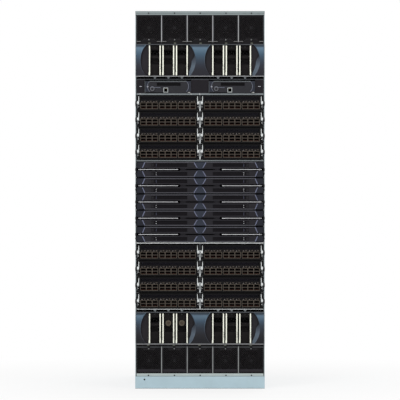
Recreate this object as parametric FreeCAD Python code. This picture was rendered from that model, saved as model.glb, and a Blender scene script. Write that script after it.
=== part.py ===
import FreeCAD, Part
import math
import os

# Modular chassis switch, 29 rack units tall. Millimetres, +Z up, fronts towards -Y.
# Origin: middle of the whole part in X and Y, underside of the plinth at Z = 0.

# Overall
WIDTH = 442.0                # top cover and plinth
DEPTH = 719.0                # front of the supply cheeks to the rear panel
CHEEK_PROUD = 16.0           # how far the supply cheeks stand out of the front plane

# Sheet metal
WALL_T = 3.0                 # side walls
WALL_INSET = 1.5             # walls stand this far inside the cover and plinth
SHELF_T = 2.0
DECK_H = 5.8                 # folded decks between the card cages
SHEET_T = 1.6                # folds, lips, partitions
DIVIDER_T = 3.6              # plates between the fans
THIN_T = 0.8                 # plates between the supplies
POST_T = 4.0                 # post between the two leaf columns
REAR_T = 1.5
RUN = 0.3                    # clearance of everything that slides

# Heights, from the floor up
PLINTH_H = 41.3
SILL_H = 11.0
FAN_BAY_H = 98.8
LATCH_BAY_H = 8.2
SUPPLY_BAY_H = 106.3
LEAF_PITCH = 55.2
LEAF_ROWS = 4
SPINE_PITCH = 55.35
SPINE_ROWS = 5
MANAGE_BAY_H = 47.0
COVER_H = 14.55

# Card cages
FAN_COLUMNS = 5
SUPPLY_PER_GROUP = 3
SUPPLY_SIDE_GAP = 5.5        # outermost supply to the lens corner
SUPPLY_SHIFT = 1.7           # supplies stand this much nearer the middle than their lens
CARD_DEPTH = 480.0           # leaf and spine modules behind the front plane
SUPPLY_DEPTH = 340.0
FAN_DEPTH = 150.0
MANAGE_DEPTH = 280.0
CONNECTOR_T = 8.0            # half of a mated connector pair
CONNECTOR_GAP = 0.5
BOARD_T = 4.0
FAN_BOARD_H = 16.0
LEAF_PLUG_W = 120.0
SPINE_PLUG_INSET = 25.0
SUPPLY_PLUG_W = 24.0
SUPPLY_PLUG_H = 60.0
FAN_PLUG_W = 24.0
FAN_PLUG_H = 8.0
PLUG_H = 20.0
LEDGE_T = 1.0                # runners under the cards
LEDGE_W = 8.0
LEDGE_SETBACK = 5.0
CARD_SIDE_GAP = 1.5          # card to side wall, over the runner
CARD_POST_GAP = 0.6          # card to the middle post

# Fan module
GRILLE_T = 1.6
FAN_PLENUM = 12.0            # space between the grille and the blades
DUCT_WALL = 3.6
DUCT_SIDES = 16
HUB_W = 34.0
HUB_SIDES = 8
BLADES = 4
BLADE_T = 2.4
BLADE_L = 22.0               # along the air stream
BLADE_PITCH_DEG = 28.0
BLADE_TIP_GAP = 1.5
BLADE_SETBACK = 1.0          # behind the front of the hub
HUB_TAIL = 5.0               # hub behind the blades
ARM_W = 5.0                  # stator arms
ARM_L = 4.0
ARM_SEAT = 1.0               # how far an arm's end is let into the duct's wall
PERF_PITCH_X = 23.0
PERF_PITCH_Z = 17.0
PERF_W = 16.0
PERF_H = 20.0
PERF_EDGE = 2.2
ARCH_W = 62.0                # plain arch round the fixing screw
ARCH_H = 17.0
ARCH_PROUD = 1.2
FAN_TAB_W = 7.0
FAN_TAB_H = 5.0
FAN_TAB_PROUD = 7.0
FAN_TAB_X = 1.4

# Power supply
CHEEK_W = 5.0
CHEEK_INSET = 1.15           # cheek inside the side of the supply
CHEEK_END_GAP = 1.7          # cheek end to the bay
CHEEK_NOSE = 3.0             # slope at each end of a cheek's front
FACE_SETBACK = 4.0           # dark face between the cheeks
SOCKET_DEEP = 22.0
SOCKET_H = 20.0
INLET_Z = 27.0               # middle of the mains socket above the supply's middle
OUTLET_Z = -3.0
CAP_D = 20.0                 # round cap in place of the mains socket of two supplies
CAP_PROUD = 5.0
CAP_Z = 17.0                 # middle of the cap above the supply's middle

# Moulded bezels
BEZEL_SIDE = 3.3             # bezel end inside the side of the cover
BEZEL_T = 12.5
BEZEL_CROWN = 3.0
LENS_SIDE_END = 33.6         # lens to the bezel's end: at its corners, and half way up
LENS_SIDE_MID = 14.2
LENS_CENTRE_END = 35.1       # lens to the middle of the bezel, likewise
LENS_CENTRE_MID = 15.7
LENS_FLARE = 5.0
LENS_FLARE_DEEP = 5.0

# Management module
MANAGE_END_BLANK = 28.0      # plates at the ends and in the middle of the row
MANAGE_MIDDLE_BLANK = 59.8
MANAGE_PROUD = 4.0
MANAGE_MOULDING = 16.5       # front moulding behind the front plane
MANAGE_TOP_GAP = 4.6          # dark gap over the moulding
DISPLAY_X = 2.5
DISPLAY_Z = 7.2
DISPLAY_SIDE = 38.5
DISPLAY_H = 10.2
DISPLAY_DEEP = 2.5
KNOB_SIDE = 25.5             # knob to the left side of the module
KNOB_Z = -8.5
KNOB_D = 14.5
KNOB_PROUD = 5.0
KNOB_BORE_D = 9.0
KNOB_BORE_DEEP = 2.0
JACK_X = -7.5
JACK_Z = -12.5
JACK_W = 12.0
JACK_H = 12.5
JACK_DEEP = 16.0
JACK_FRAME = 1.9
JACK_PROUD = 1.2
END_ARC_SIDE = 7.5           # ends of a bowed rib to the side of the module
END_ARC_W = 3.0
END_ARC_BOW = 7.5
END_ARC_PROUD = 1.0
END_ARC_GAP = 5.5

# Leaf module
PORT_W = 17.9
PORT_H = 7.2
PORT_PITCH = 20.2
PORT_DEEP = 44.0
GROUP_PITCH = 64.4
PORTS_PER_GROUP = 3
PORT_SIDE_MIN = 8.0          # least plain width beside the port cages
LOWER_PORT_Z = 9.3           # underside of the lower port row above the card's slot
PORT_ROW_GAP = 3.7
CAGE_PROUD = 2.0
VENT_H = 13.7
VENT_Z = 37.1
VENT_SIDE = 12.2
VENT_DEEP = 3.0
LEAF_LEVER_W = 7.0
LEAF_LEVER_T = 2.4
LEAF_LEVER_INSET = 0.2
LEAF_FOOT_LOW = 7.4          # the lever's foot, grip and blade, above the card's slot
LEAF_FOOT_SLOPE = 4.6
LEAF_FOOT_H = 16.6
LEAF_GRIP_LOW = 21.0
LEAF_GRIP_SLOPE = 4.0
LEAF_GRIP_H = 14.2
LEAF_GRIP_BROW = 3.2
LEAF_GRIP_PROUD = 12.5
LEAF_BLADE_LOW = 33.0
LEAF_BLADE_H = 18.0
LEAF_BLADE_SLOPE = 9.0
LEAF_BLADE_PROUD = 7.5

# Spine module
SPINE_PROUD = 8.0
POD_PROUD = 2.0
GROOVE_H = 9.0
GROOVE_DEEP = 16.0
POD_EDGE = 1.0               # pod to the edge of the module's front
POD_SIDE_END = 25.6          # pod to the module's side: along the edge, and beside the lever
POD_SIDE_MID = 16.7
POD_IN_END = 19.5            # pod to the middle of the chassis, likewise
POD_IN_MID = 7.5
WINDOW_SIDE = 48.1
WINDOW_IN = 43.7
WINDOW_H = 11.9
WINDOW_EDGE = 6.8
WINDOW_DEEP = 4.0
LATCH_OUT = 68.0
LATCH_IN = 47.0
LATCH_GAP = 1.3

# Spine ejector lever
PIVOT_INSET = 11.0
PIVOT_PROUD = 4.0
PIN_D = 4.0
PIN_FIT = 0.05               # radial
EYE_R = 5.0
EYE_BACK = 2.0
LEVER_T = 3.4
LEVER_TIP_GAP = 7.0          # lever tip to the latch bump
LEVER_ROOT_D = 8.4
LEVER_TIP_D = 5.0
FINGER_L = 18.0
FINGER_OUT = 4.5
FINGER_T = 3.0
CLAW_L = 7.0
CLAW_W = 4.0
CLAW_Y = 2.5

# Side studs beside the cards
STUD_PROUD = 12.0
LEAF_STUD_H = 15.5
LEAF_STUD_Z = 18.7
LEAF_STUD_RISE = 3.0
LEAF_STUD_FALL = 5.0
STUD_SIDES = 8

# Spring tabs of the supplies
LATCH_TAB_W = 6.0
LATCH_TAB_L = 19.0
LATCH_TAB_SETBACK = 1.0
LATCH_TAB_DROP = 1.2

# Rack bracket holes in each side wall
BRACKET_HOLE_D = 5.5
BRACKET_Y = 40.0             # first column behind the front edge
BRACKET_SPACING_Y = 40.0
BRACKET_SPACING_Z = 900.0
BRACKET_MID_Z = 643.0

# Plinth front hole
PLINTH_HOLE_D = 6.0
PLINTH_HOLE_X = -189.4
PLINTH_HOLE_Z = 30.7

# Rear panel vents
REAR_BRIDGE = 23.0           # plain width beside and between the slots
REAR_SLOT_H = 18.0
REAR_SLOT_PITCH = 30.0
REAR_COLUMNS = 2
REAR_DATA_ROWS = 4
REAR_POWER_ROWS = 2
REAR_FAN_ROWS = 2

# Places that follow from the sizes above
FRONT = -DEPTH / 2.0 + CHEEK_PROUD
BACK = DEPTH / 2.0
WALL_OUT = WIDTH / 2.0 - WALL_INSET
WALL_IN = WALL_OUT - WALL_T
BOARD_Y = FRONT + CARD_DEPTH + 2.0 * CONNECTOR_T + CONNECTOR_GAP
SUPPLY_BOARD_Y = FRONT + SUPPLY_DEPTH + 2.0 * CONNECTOR_T + CONNECTOR_GAP
FAN_BOARD_Y = FRONT + FAN_DEPTH + 2.0 * CONNECTOR_T + CONNECTOR_GAP
PANEL_Y = BACK - REAR_T

FAN_LOW = PLINTH_H + SILL_H
SHELF_A = FAN_LOW + FAN_BAY_H
SUPPLY_LOW = SHELF_A + SHELF_T
CHANNEL_A = SUPPLY_LOW + SUPPLY_BAY_H
SHELF_B = CHANNEL_A + SHELF_T + LATCH_BAY_H
LEAF_LOW = SHELF_B + SHELF_T
DECK_A = LEAF_LOW + LEAF_ROWS * LEAF_PITCH
SPINE_LOW = DECK_A + DECK_H
DECK_B = SPINE_LOW + SPINE_ROWS * SPINE_PITCH
LEAF_HIGH = DECK_B + DECK_H
DECK_C = LEAF_HIGH + LEAF_ROWS * LEAF_PITCH
MANAGE_LOW = DECK_C + DECK_H
SHELF_C = MANAGE_LOW + MANAGE_BAY_H
CHANNEL_B = SHELF_C + SHELF_T + LATCH_BAY_H
SUPPLY_HIGH = CHANNEL_B + SHELF_T
SHELF_D = SUPPLY_HIGH + SUPPLY_BAY_H
FAN_HIGH = SHELF_D + SHELF_T
CEILING = FAN_HIGH + FAN_BAY_H
TOP = CEILING + COVER_H

FAN_W = (2.0 * WALL_IN - (FAN_COLUMNS - 1) * DIVIDER_T) / FAN_COLUMNS - 2.0 * RUN
FAN_PITCH = FAN_W + 2.0 * RUN + DIVIDER_T
FAN_H = FAN_BAY_H - 2.0 * RUN
DUCT_D = min(FAN_W, FAN_H) - 2.0 * DUCT_WALL

BEZEL_W = WIDTH - 2.0 * BEZEL_SIDE
LENS_X = (BEZEL_W / 2.0 - LENS_SIDE_MID + LENS_CENTRE_MID) / 2.0
LENS_HALF_MID = (BEZEL_W / 2.0 - LENS_SIDE_MID - LENS_CENTRE_MID) / 2.0
LENS_HALF_END = (BEZEL_W / 2.0 - LENS_SIDE_END - LENS_CENTRE_END) / 2.0
SUPPLY_GROUP_X = LENS_X - SUPPLY_SHIFT
SUPPLY_PITCH = 2.0 * (LENS_HALF_END - SUPPLY_SIDE_GAP) / SUPPLY_PER_GROUP
SUPPLY_W = SUPPLY_PITCH - THIN_T - 2.0 * RUN
SUPPLY_H = SUPPLY_BAY_H - 2.0 * RUN

MANAGE_W = WALL_IN - MANAGE_END_BLANK - MANAGE_MIDDLE_BLANK / 2.0 - 2.0 * RUN
MANAGE_X = MANAGE_MIDDLE_BLANK / 2.0 + RUN + MANAGE_W / 2.0
MANAGE_H = MANAGE_BAY_H - 2.0 * RUN
DISPLAY_W = MANAGE_W - 2.0 * DISPLAY_SIDE
KNOB_X = -MANAGE_W / 2.0 + KNOB_SIDE

LEAF_W = WALL_IN - CARD_SIDE_GAP - CARD_POST_GAP - POST_T / 2.0
LEAF_X = CARD_POST_GAP + POST_T / 2.0 + LEAF_W / 2.0
GROUP_W = (PORTS_PER_GROUP - 1) * PORT_PITCH + PORT_W
PORT_GROUPS = int((LEAF_W - 2.0 * PORT_SIDE_MIN + GROUP_PITCH - GROUP_W) // GROUP_PITCH)
VENT_W = LEAF_W - 2.0 * VENT_SIDE
CARD_BASE = LEDGE_T + RUN    # underside of a card above its slot

SPINE_W = 2.0 * (WALL_IN - CARD_SIDE_GAP)
SPINE_PLUG_W = SPINE_W - 2.0 * SPINE_PLUG_INSET
PIVOT_X = SPINE_W / 2.0 - PIVOT_INSET
LEVER_REACH = PIVOT_X - LATCH_OUT - LEVER_TIP_GAP
POD_OUT_END = SPINE_W / 2.0 - POD_SIDE_END
POD_OUT_MID = SPINE_W / 2.0 - POD_SIDE_MID
WINDOW_OUT = SPINE_W / 2.0 - WINDOW_SIDE

REAR_SLOT_W = (2.0 * WALL_OUT - (REAR_COLUMNS + 1) * REAR_BRIDGE) / REAR_COLUMNS
REAR_COLUMN_PITCH = REAR_SLOT_W + REAR_BRIDGE


def V(x, y, z):
    return FreeCAD.Vector(x, y, z)


def box(x0, x1, y0, y1, z0, z1):
    return Part.makeBox(x1 - x0, y1 - y0, z1 - z0, V(x0, y0, z0))


def rod_y(diameter, x, z, y0, y1):
    return Part.makeCylinder(diameter / 2.0, y1 - y0, V(x, y0, z), V(0, 1, 0))


def rod_x(diameter, y, z, x0, x1):
    return Part.makeCylinder(diameter / 2.0, x1 - x0, V(x0, y, z), V(1, 0, 0))


def rod_z(diameter, x, y, z0, z1):
    return Part.makeCylinder(diameter / 2.0, z1 - z0, V(x, y, z0), V(0, 0, 1))


def facet_bar(sides, width, x, z, y0, y1):
    """A bar along the depth with flat sides, a given width across them."""
    radius = width / 2.0 / math.cos(math.pi / sides)
    points = []
    for i in range(sides):
        angle = (i + 0.5) * 2.0 * math.pi / sides
        points.append((x + radius * math.cos(angle), y0, z + radius * math.sin(angle)))
    return prism(points, (0, y1 - y0, 0))


def prism(points, step):
    """A flat outline of 3-D points, pushed along one vector."""
    wire = Part.makePolygon([V(*p) for p in points] + [V(*points[0])])
    return Part.Face(wire).extrude(V(*step))


def moved(shape, x, y, z, turned=False):
    """A copy in place; turned is half a turn about the depth axis."""
    out = shape.copy()
    if turned:
        out.rotate(V(0, 0, 0), V(0, 1, 0), 180)
    out.translate(V(x, y, z))
    return out


def fuse(shapes):
    out = shapes[0].multiFuse(shapes[1:]) if len(shapes) > 1 else shapes[0]
    return out.removeSplitter()


def save(name, solids):
    flat = []
    for item in solids:
        flat.extend(item.Solids)
    shape = flat[0] if len(flat) == 1 else Part.makeCompound(flat)
    shape.exportStep("parts/%s.step" % name)


# Chassis

def side_wall(side):
    x0, x1 = sorted((side * WALL_IN, side * WALL_OUT))
    wall = box(x0, x1, FRONT, PANEL_Y, PLINTH_H, CEILING)
    holes = [
        rod_x(BRACKET_HOLE_D, FRONT + BRACKET_Y + i * BRACKET_SPACING_Y,
              BRACKET_MID_Z + (j - 0.5) * BRACKET_SPACING_Z, x0 - 1, x1 + 1)
        for i in range(2) for j in range(2)
    ]
    return wall.cut(holes[0].multiFuse(holes[1:]))


def side_studs(side):
    """Small black studs on the front edge of a wall, one for each card, two for a spine."""
    studs = []
    x0, x1 = sorted((side * WALL_IN, side * WIDTH / 2.0))
    for base in (LEAF_LOW, LEAF_HIGH):
        for row in range(LEAF_ROWS):
            z = base + row * LEAF_PITCH + LEAF_STUD_Z
            y = FRONT - STUD_PROUD
            studs.append(prism(
                [(x0, FRONT, z), (x0, y, z + LEAF_STUD_RISE),
                 (x0, y, z + LEAF_STUD_H - LEAF_STUD_FALL), (x0, FRONT, z + LEAF_STUD_H)],
                (x1 - x0, 0, 0)))
    for row in range(SPINE_ROWS):
        z = SPINE_LOW + (row + 0.5) * SPINE_PITCH
        studs.append(facet_bar(STUD_SIDES, x1 - x0, (x0 + x1) / 2.0, z, FRONT - STUD_PROUD, FRONT))
    return studs


def top_cover():
    half = WIDTH / 2.0
    outer = box(-half, half, FRONT - SHEET_T, BACK, CEILING, TOP)
    inner = box(-half + SHEET_T, half - SHEET_T, FRONT, BACK - SHEET_T, CEILING, TOP - SHEET_T)
    floor = box(-half + SHEET_T, half - SHEET_T, FRONT, BACK - SHEET_T, CEILING,
                CEILING + SHELF_T)
    return [outer.cut(inner), floor]


def plinth():
    half = WIDTH / 2.0
    y0 = FRONT - SHEET_T
    front = box(-half, half, y0, y0 + SHELF_T, 0, PLINTH_H)
    front = front.cut(rod_y(PLINTH_HOLE_D, PLINTH_HOLE_X, PLINTH_HOLE_Z, y0 - 1, y0 + SHELF_T + 1))
    rear = box(-half, half, BACK - SHELF_T, BACK, 0, PLINTH_H)
    sides = [box(x, x + SHELF_T, y0 + SHELF_T, BACK - SHELF_T, 0, PLINTH_H)
             for x in (-half, half - SHELF_T)]
    inside = half - SHELF_T
    plates = [box(-inside, inside, y0 + SHELF_T, BACK - SHELF_T, z, z + SHELF_T)
              for z in (0, PLINTH_H - SHELF_T)]
    return [front, rear] + sides + plates


def chassis_shell():
    solids = [side_wall(-1), side_wall(1)] + top_cover() + plinth()
    return solids + side_studs(-1) + side_studs(1)


def shelf(z, y1):
    return box(-WALL_IN, WALL_IN, FRONT, y1, z, z + SHELF_T)


def deck(z):
    """A folded sheet: the lip shows as the pale line between two card cages."""
    lip = box(-WALL_IN, WALL_IN, FRONT, FRONT + SHEET_T, z, z + DECK_H)
    sheet = box(-WALL_IN, WALL_IN, FRONT + SHEET_T, BOARD_Y, z + DECK_H - SHEET_T, z + DECK_H)
    return lip.fuse(sheet)


def sill():
    lip = box(-WALL_IN, WALL_IN, FRONT, FRONT + SHEET_T, PLINTH_H, FAN_LOW)
    sheet = box(-WALL_IN, WALL_IN, FRONT + SHEET_T, PANEL_Y, FAN_LOW - SHEET_T, FAN_LOW)
    return lip.fuse(sheet)


def fan_dividers(z):
    solids = []
    for i in range(FAN_COLUMNS - 1):
        x = (i - (FAN_COLUMNS - 2) / 2.0) * FAN_PITCH
        solids.append(box(x - DIVIDER_T / 2.0, x + DIVIDER_T / 2.0, FRONT, FAN_BOARD_Y,
                          z, z + FAN_BAY_H))
    return solids


def supply_partitions(z):
    """Blanking plates beside the supplies, and the thin plates between them."""
    z1 = z + SUPPLY_BAY_H
    half = SUPPLY_PITCH * SUPPLY_PER_GROUP / 2.0
    inner = SUPPLY_GROUP_X - half
    outer = SUPPLY_GROUP_X + half
    solids = [box(-inner, inner, FRONT, FRONT + SHEET_T, z, z1)]
    for side in (-1, 1):
        x0, x1 = sorted((side * outer, side * WALL_IN))
        solids.append(box(x0, x1, FRONT, FRONT + SHEET_T, z, z1))
        for i in range(SUPPLY_PER_GROUP + 1):
            x = side * SUPPLY_GROUP_X + (i - SUPPLY_PER_GROUP / 2.0) * SUPPLY_PITCH
            y0 = FRONT + (SHEET_T if i in (0, SUPPLY_PER_GROUP) else 0.0)
            solids.append(box(x - THIN_T / 2.0, x + THIN_T / 2.0, y0, SUPPLY_BOARD_Y, z, z1))
    return solids


def latch_tabs(z):
    """Spring tabs of the supplies, in the dark channel."""
    solids = []
    y0 = FRONT + LATCH_TAB_SETBACK
    for x in supply_places():
        solids.append(box(x - LATCH_TAB_W / 2.0, x + LATCH_TAB_W / 2.0, y0,
                          y0 + LATCH_TAB_L, z + LATCH_TAB_DROP, z + LATCH_BAY_H))
    return solids


def runners(z):
    """The four ledges that carry one row of leaf modules."""
    y0 = FRONT + LEDGE_SETBACK
    post = POST_T / 2.0
    spans = [(-WALL_IN, -WALL_IN + LEDGE_W), (-post - LEDGE_W, -post),
             (post, post + LEDGE_W), (WALL_IN - LEDGE_W, WALL_IN)]
    return [box(a, b, y0, BOARD_Y, z, z + LEDGE_T) for a, b in spans]


def manage_blanks():
    z0 = MANAGE_LOW
    z1 = MANAGE_LOW + MANAGE_BAY_H
    inner = MANAGE_X - MANAGE_W / 2.0 - RUN
    outer = MANAGE_X + MANAGE_W / 2.0 + RUN
    spans = [(-WALL_IN, -outer), (-inner, inner), (outer, WALL_IN)]
    plates = [box(a, b, FRONT, FRONT + SHEET_T, z0, z1) for a, b in spans]
    y0 = FRONT + SHEET_T
    for x in (-outer - SHEET_T, -inner, inner - SHEET_T, outer):
        plates.append(box(x, x + SHEET_T, y0, BOARD_Y, z0, z1))
    return plates


def bay_frame():
    solids = [sill()]
    for z in (SHELF_A, SHELF_B, SHELF_C, SHELF_D):
        solids.append(shelf(z, PANEL_Y))
    for z in (CHANNEL_A, CHANNEL_B):
        solids.append(shelf(z, SUPPLY_BOARD_Y))
    for z in (DECK_A, DECK_B, DECK_C):
        solids.append(deck(z))
    for z in (FAN_LOW, FAN_HIGH):
        solids += fan_dividers(z)
    for z in (SUPPLY_LOW, SUPPLY_HIGH):
        solids += supply_partitions(z)
    solids += latch_tabs(CHANNEL_A + SHELF_T)
    solids += latch_tabs(SHELF_C + SHELF_T)
    for base in (LEAF_LOW, LEAF_HIGH):
        solids.append(box(-POST_T / 2.0, POST_T / 2.0, FRONT, BOARD_Y - CONNECTOR_T,
                          base, base + LEAF_ROWS * LEAF_PITCH))
        for row in range(LEAF_ROWS):
            solids += runners(base + row * LEAF_PITCH)
    for row in range(SPINE_ROWS):
        z = SPINE_LOW + row * SPINE_PITCH
        ledges = runners(z)
        solids += [ledges[0], ledges[3]]
    return solids + manage_blanks()


def rear_slots(z0, z1, rows):
    """One block of exhaust slots, centred in a bay."""
    cuts = []
    middle = (z0 + z1) / 2.0
    for row in range(rows):
        z = middle + (row - (rows - 1) / 2.0) * REAR_SLOT_PITCH
        for column in range(REAR_COLUMNS):
            x = (column - (REAR_COLUMNS - 1) / 2.0) * REAR_COLUMN_PITCH
            cuts.append(box(x - REAR_SLOT_W / 2.0, x + REAR_SLOT_W / 2.0, PANEL_Y - 1,
                            BACK + 1, z - REAR_SLOT_H / 2.0, z + REAR_SLOT_H / 2.0))
    return cuts


def rear_panel():
    panel = box(-WALL_OUT, WALL_OUT, PANEL_Y, BACK, PLINTH_H, CEILING)
    cuts = rear_slots(FAN_LOW, SHELF_A, REAR_FAN_ROWS)
    cuts += rear_slots(SUPPLY_LOW, SHELF_B, REAR_POWER_ROWS)
    cuts += rear_slots(LEAF_LOW, DECK_A, REAR_DATA_ROWS)
    cuts += rear_slots(SPINE_LOW, DECK_B, REAR_DATA_ROWS)
    cuts += rear_slots(LEAF_HIGH, DECK_C, REAR_DATA_ROWS)
    cuts += rear_slots(CHANNEL_B, SHELF_D, REAR_POWER_ROWS)
    cuts += rear_slots(FAN_HIGH, CEILING, REAR_FAN_ROWS)
    return panel.cut(cuts[0].multiFuse(cuts[1:]))


def connector(x, z, y1, width, height):
    """The half of a connector pair that stands on a board."""
    return box(x - width / 2.0, x + width / 2.0, y1 - CONNECTOR_T, y1,
               z - height / 2.0, z + height / 2.0)


def midplane():
    """The data board across the card cages, and the smaller boards of supplies and fans."""
    solids = [box(-WALL_IN, WALL_IN, BOARD_Y, BOARD_Y + BOARD_T, LEAF_LOW, SHELF_C)]
    for base in (LEAF_LOW, LEAF_HIGH):
        for row in range(LEAF_ROWS):
            z = base + (row + 0.5) * LEAF_PITCH
            solids.append(connector(0, z, BOARD_Y, 2.0 * LEAF_X + LEAF_PLUG_W, PLUG_H))
    for row in range(SPINE_ROWS):
        z = SPINE_LOW + (row + 0.5) * SPINE_PITCH
        solids.append(connector(0, z, BOARD_Y, SPINE_PLUG_W, PLUG_H))
    for z in (SUPPLY_LOW, SUPPLY_HIGH):
        solids.append(box(-WALL_IN, WALL_IN, SUPPLY_BOARD_Y, SUPPLY_BOARD_Y + BOARD_T,
                          z, z + SUPPLY_BAY_H))
        for x in supply_places():
            solids.append(connector(x, z + SUPPLY_BAY_H / 2.0, SUPPLY_BOARD_Y,
                                    SUPPLY_PLUG_W, SUPPLY_PLUG_H))
    for z, low in ((FAN_LOW, True), (FAN_HIGH, False)):
        z0 = z if low else z + FAN_BAY_H - FAN_BOARD_H
        solids.append(box(-WALL_IN, WALL_IN, FAN_BOARD_Y, FAN_BOARD_Y + BOARD_T,
                          z0, z0 + FAN_BOARD_H))
        for x in fan_places():
            solids.append(connector(x, z0 + FAN_BOARD_H / 2.0, FAN_BOARD_Y,
                                    FAN_PLUG_W, FAN_PLUG_H))
    return solids


# Bezel

def lens(x, z, half_end, half_mid, half_h, y):
    """Outline of one lens aperture: flat ends, bowed sides."""
    arcs = []
    for side in (-1, 1):
        a = V(x + side * half_end, y, z - side * half_h)
        m = V(x + side * half_mid, y, z)
        b = V(x + side * half_end, y, z + side * half_h)
        arcs.append((a, m, b))
    left, right = arcs
    edges = [
        Part.Arc(*left).toShape(),
        Part.makeLine(left[2], right[0]),
        Part.Arc(*right).toShape(),
        Part.makeLine(right[2], left[0]),
    ]
    return Part.Wire(edges)


def bezel():
    """Crowned moulding in front of the supplies; z = 0 in the middle of the supply bay."""
    half_w = BEZEL_W / 2.0
    half_h = SUPPLY_BAY_H / 2.0 + SHELF_T
    edge_y = -(BEZEL_T - BEZEL_CROWN)
    crown = Part.Arc(V(-half_w, edge_y, -half_h), V(-half_w, -BEZEL_T, 0),
                     V(-half_w, edge_y, half_h)).toShape()
    back = [V(-half_w, edge_y, half_h), V(-half_w, 0, half_h), V(-half_w, 0, -half_h),
            V(-half_w, edge_y, -half_h)]
    lines = [Part.makeLine(back[i], back[i + 1]) for i in range(3)]
    body = Part.Face(Part.Wire([crown] + lines)).extrude(V(BEZEL_W, 0, 0))
    hole_h = SUPPLY_BAY_H / 2.0
    for side in (-1, 1):
        x = side * LENS_X
        straight = Part.Face(lens(x, 0, LENS_HALF_END, LENS_HALF_MID, hole_h, -BEZEL_T - 1))
        body = body.cut(straight.extrude(V(0, BEZEL_T + 2, 0)))
        flare = Part.makeLoft([
            lens(x, 0, LENS_HALF_END + LENS_FLARE, LENS_HALF_MID + LENS_FLARE, hole_h,
                 -BEZEL_T),
            lens(x, 0, LENS_HALF_END, LENS_HALF_MID, hole_h, -BEZEL_T + LENS_FLARE_DEEP)],
            True, True)
        body = body.cut(flare)
    return body


def power_bezels():
    return [moved(bezel(), 0, FRONT, z + SUPPLY_BAY_H / 2.0) for z in (SUPPLY_LOW, SUPPLY_HIGH)]


# Fan module

def grille(half_w, half_h):
    """Front plate with staggered diamonds, plain where the arch is."""
    plate = box(-half_w, half_w, 0, GRILLE_T, -half_h, half_h)
    columns = int((2.0 * (half_w - PERF_EDGE) - PERF_W) // PERF_PITCH_X)
    rows = int((2.0 * (half_h - PERF_EDGE) - PERF_H) // PERF_PITCH_Z) + 1
    top = half_h - PERF_EDGE - PERF_H / 2.0
    cuts = []
    for row in range(rows):
        count = columns + 1 - row % 2
        z = top - row * PERF_PITCH_Z
        for i in range(count):
            x = (i - (count - 1) / 2.0) * PERF_PITCH_X
            inside_arch = math.hypot(x / (ARCH_W / 2.0 + PERF_W / 2.0),
                                     (z + half_h) / (ARCH_H + PERF_H / 2.0)) < 1.0
            if inside_arch:
                continue
            cuts.append(prism(
                [(x - PERF_W / 2.0, -1, z), (x, -1, z - PERF_H / 2.0),
                 (x + PERF_W / 2.0, -1, z), (x, -1, z + PERF_H / 2.0)],
                (0, GRILLE_T + 2, 0)))
    return plate.cut(Part.makeCompound(cuts))


def fan_arch(half_h):
    """Plain raised arch round the fixing screw."""
    a = V(-ARCH_W / 2.0, -ARCH_PROUD, -half_h)
    b = V(0, -ARCH_PROUD, -half_h + ARCH_H)
    c = V(ARCH_W / 2.0, -ARCH_PROUD, -half_h)
    face = Part.Face(Part.Wire([Part.Arc(a, b, c).toShape(), Part.makeLine(c, a)]))
    return face.extrude(V(0, ARCH_PROUD, 0))


def fan_rotor(y0, z):
    """Hub, blades and the stator arms that hold them, all in one with the housing."""
    hub_end = y0 + BLADE_SETBACK + BLADE_L + HUB_TAIL
    pieces = [facet_bar(HUB_SIDES, HUB_W, 0, z, y0, hub_end)]
    root = HUB_W / 2.0
    blade = box(root, DUCT_D / 2.0 - BLADE_TIP_GAP, -BLADE_L / 2.0, BLADE_L / 2.0,
                -BLADE_T / 2.0, BLADE_T / 2.0)
    blade.rotate(V(0, 0, 0), V(1, 0, 0), BLADE_PITCH_DEG)
    for i in range(BLADES):
        one = blade.copy()
        one.rotate(V(0, 0, 0), V(0, 1, 0), i * 360.0 / BLADES)
        one.translate(V(0, y0 + BLADE_SETBACK + BLADE_L / 2.0, z))
        pieces.append(one)
    reach = DUCT_D / 2.0 + ARM_SEAT
    pieces.append(box(-reach, reach, hub_end - ARM_L, hub_end, z - ARM_W / 2.0, z + ARM_W / 2.0))
    return pieces


def fan_module():
    """Local: x = 0 and z = 0 in the middle of the bay, y = 0 in the front plane."""
    half_w = FAN_W / 2.0
    half_h = FAN_H / 2.0
    duct_z = half_h - DUCT_D / 2.0 - DUCT_WALL
    housing = box(-half_w, half_w, GRILLE_T, FAN_DEPTH, -half_h, half_h)
    plenum = box(-half_w + SHEET_T, half_w - SHEET_T, GRILLE_T, GRILLE_T + FAN_PLENUM,
                 -half_h + SHEET_T, half_h - SHEET_T)
    duct = facet_bar(DUCT_SIDES, DUCT_D, 0, duct_z, GRILLE_T, FAN_DEPTH + 1)
    housing = housing.cut(plenum.fuse(duct))
    plug_z = FAN_BAY_H / 2.0 - FAN_BOARD_H / 2.0
    plug = box(-FAN_PLUG_W / 2.0, FAN_PLUG_W / 2.0, FAN_DEPTH, FAN_DEPTH + CONNECTOR_T,
               plug_z - FAN_PLUG_H / 2.0, plug_z + FAN_PLUG_H / 2.0)
    tab = box(FAN_TAB_X - FAN_TAB_W / 2.0, FAN_TAB_X + FAN_TAB_W / 2.0, -FAN_TAB_PROUD, 0,
              -half_h, -half_h + FAN_TAB_H)
    pieces = [housing, grille(half_w, half_h), fan_arch(half_h), plug, tab]
    return fuse(pieces + fan_rotor(GRILLE_T + FAN_PLENUM, duct_z))


def fan_places():
    return [(i - (FAN_COLUMNS - 1) / 2.0) * FAN_PITCH for i in range(FAN_COLUMNS)]


# Power supply

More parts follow.
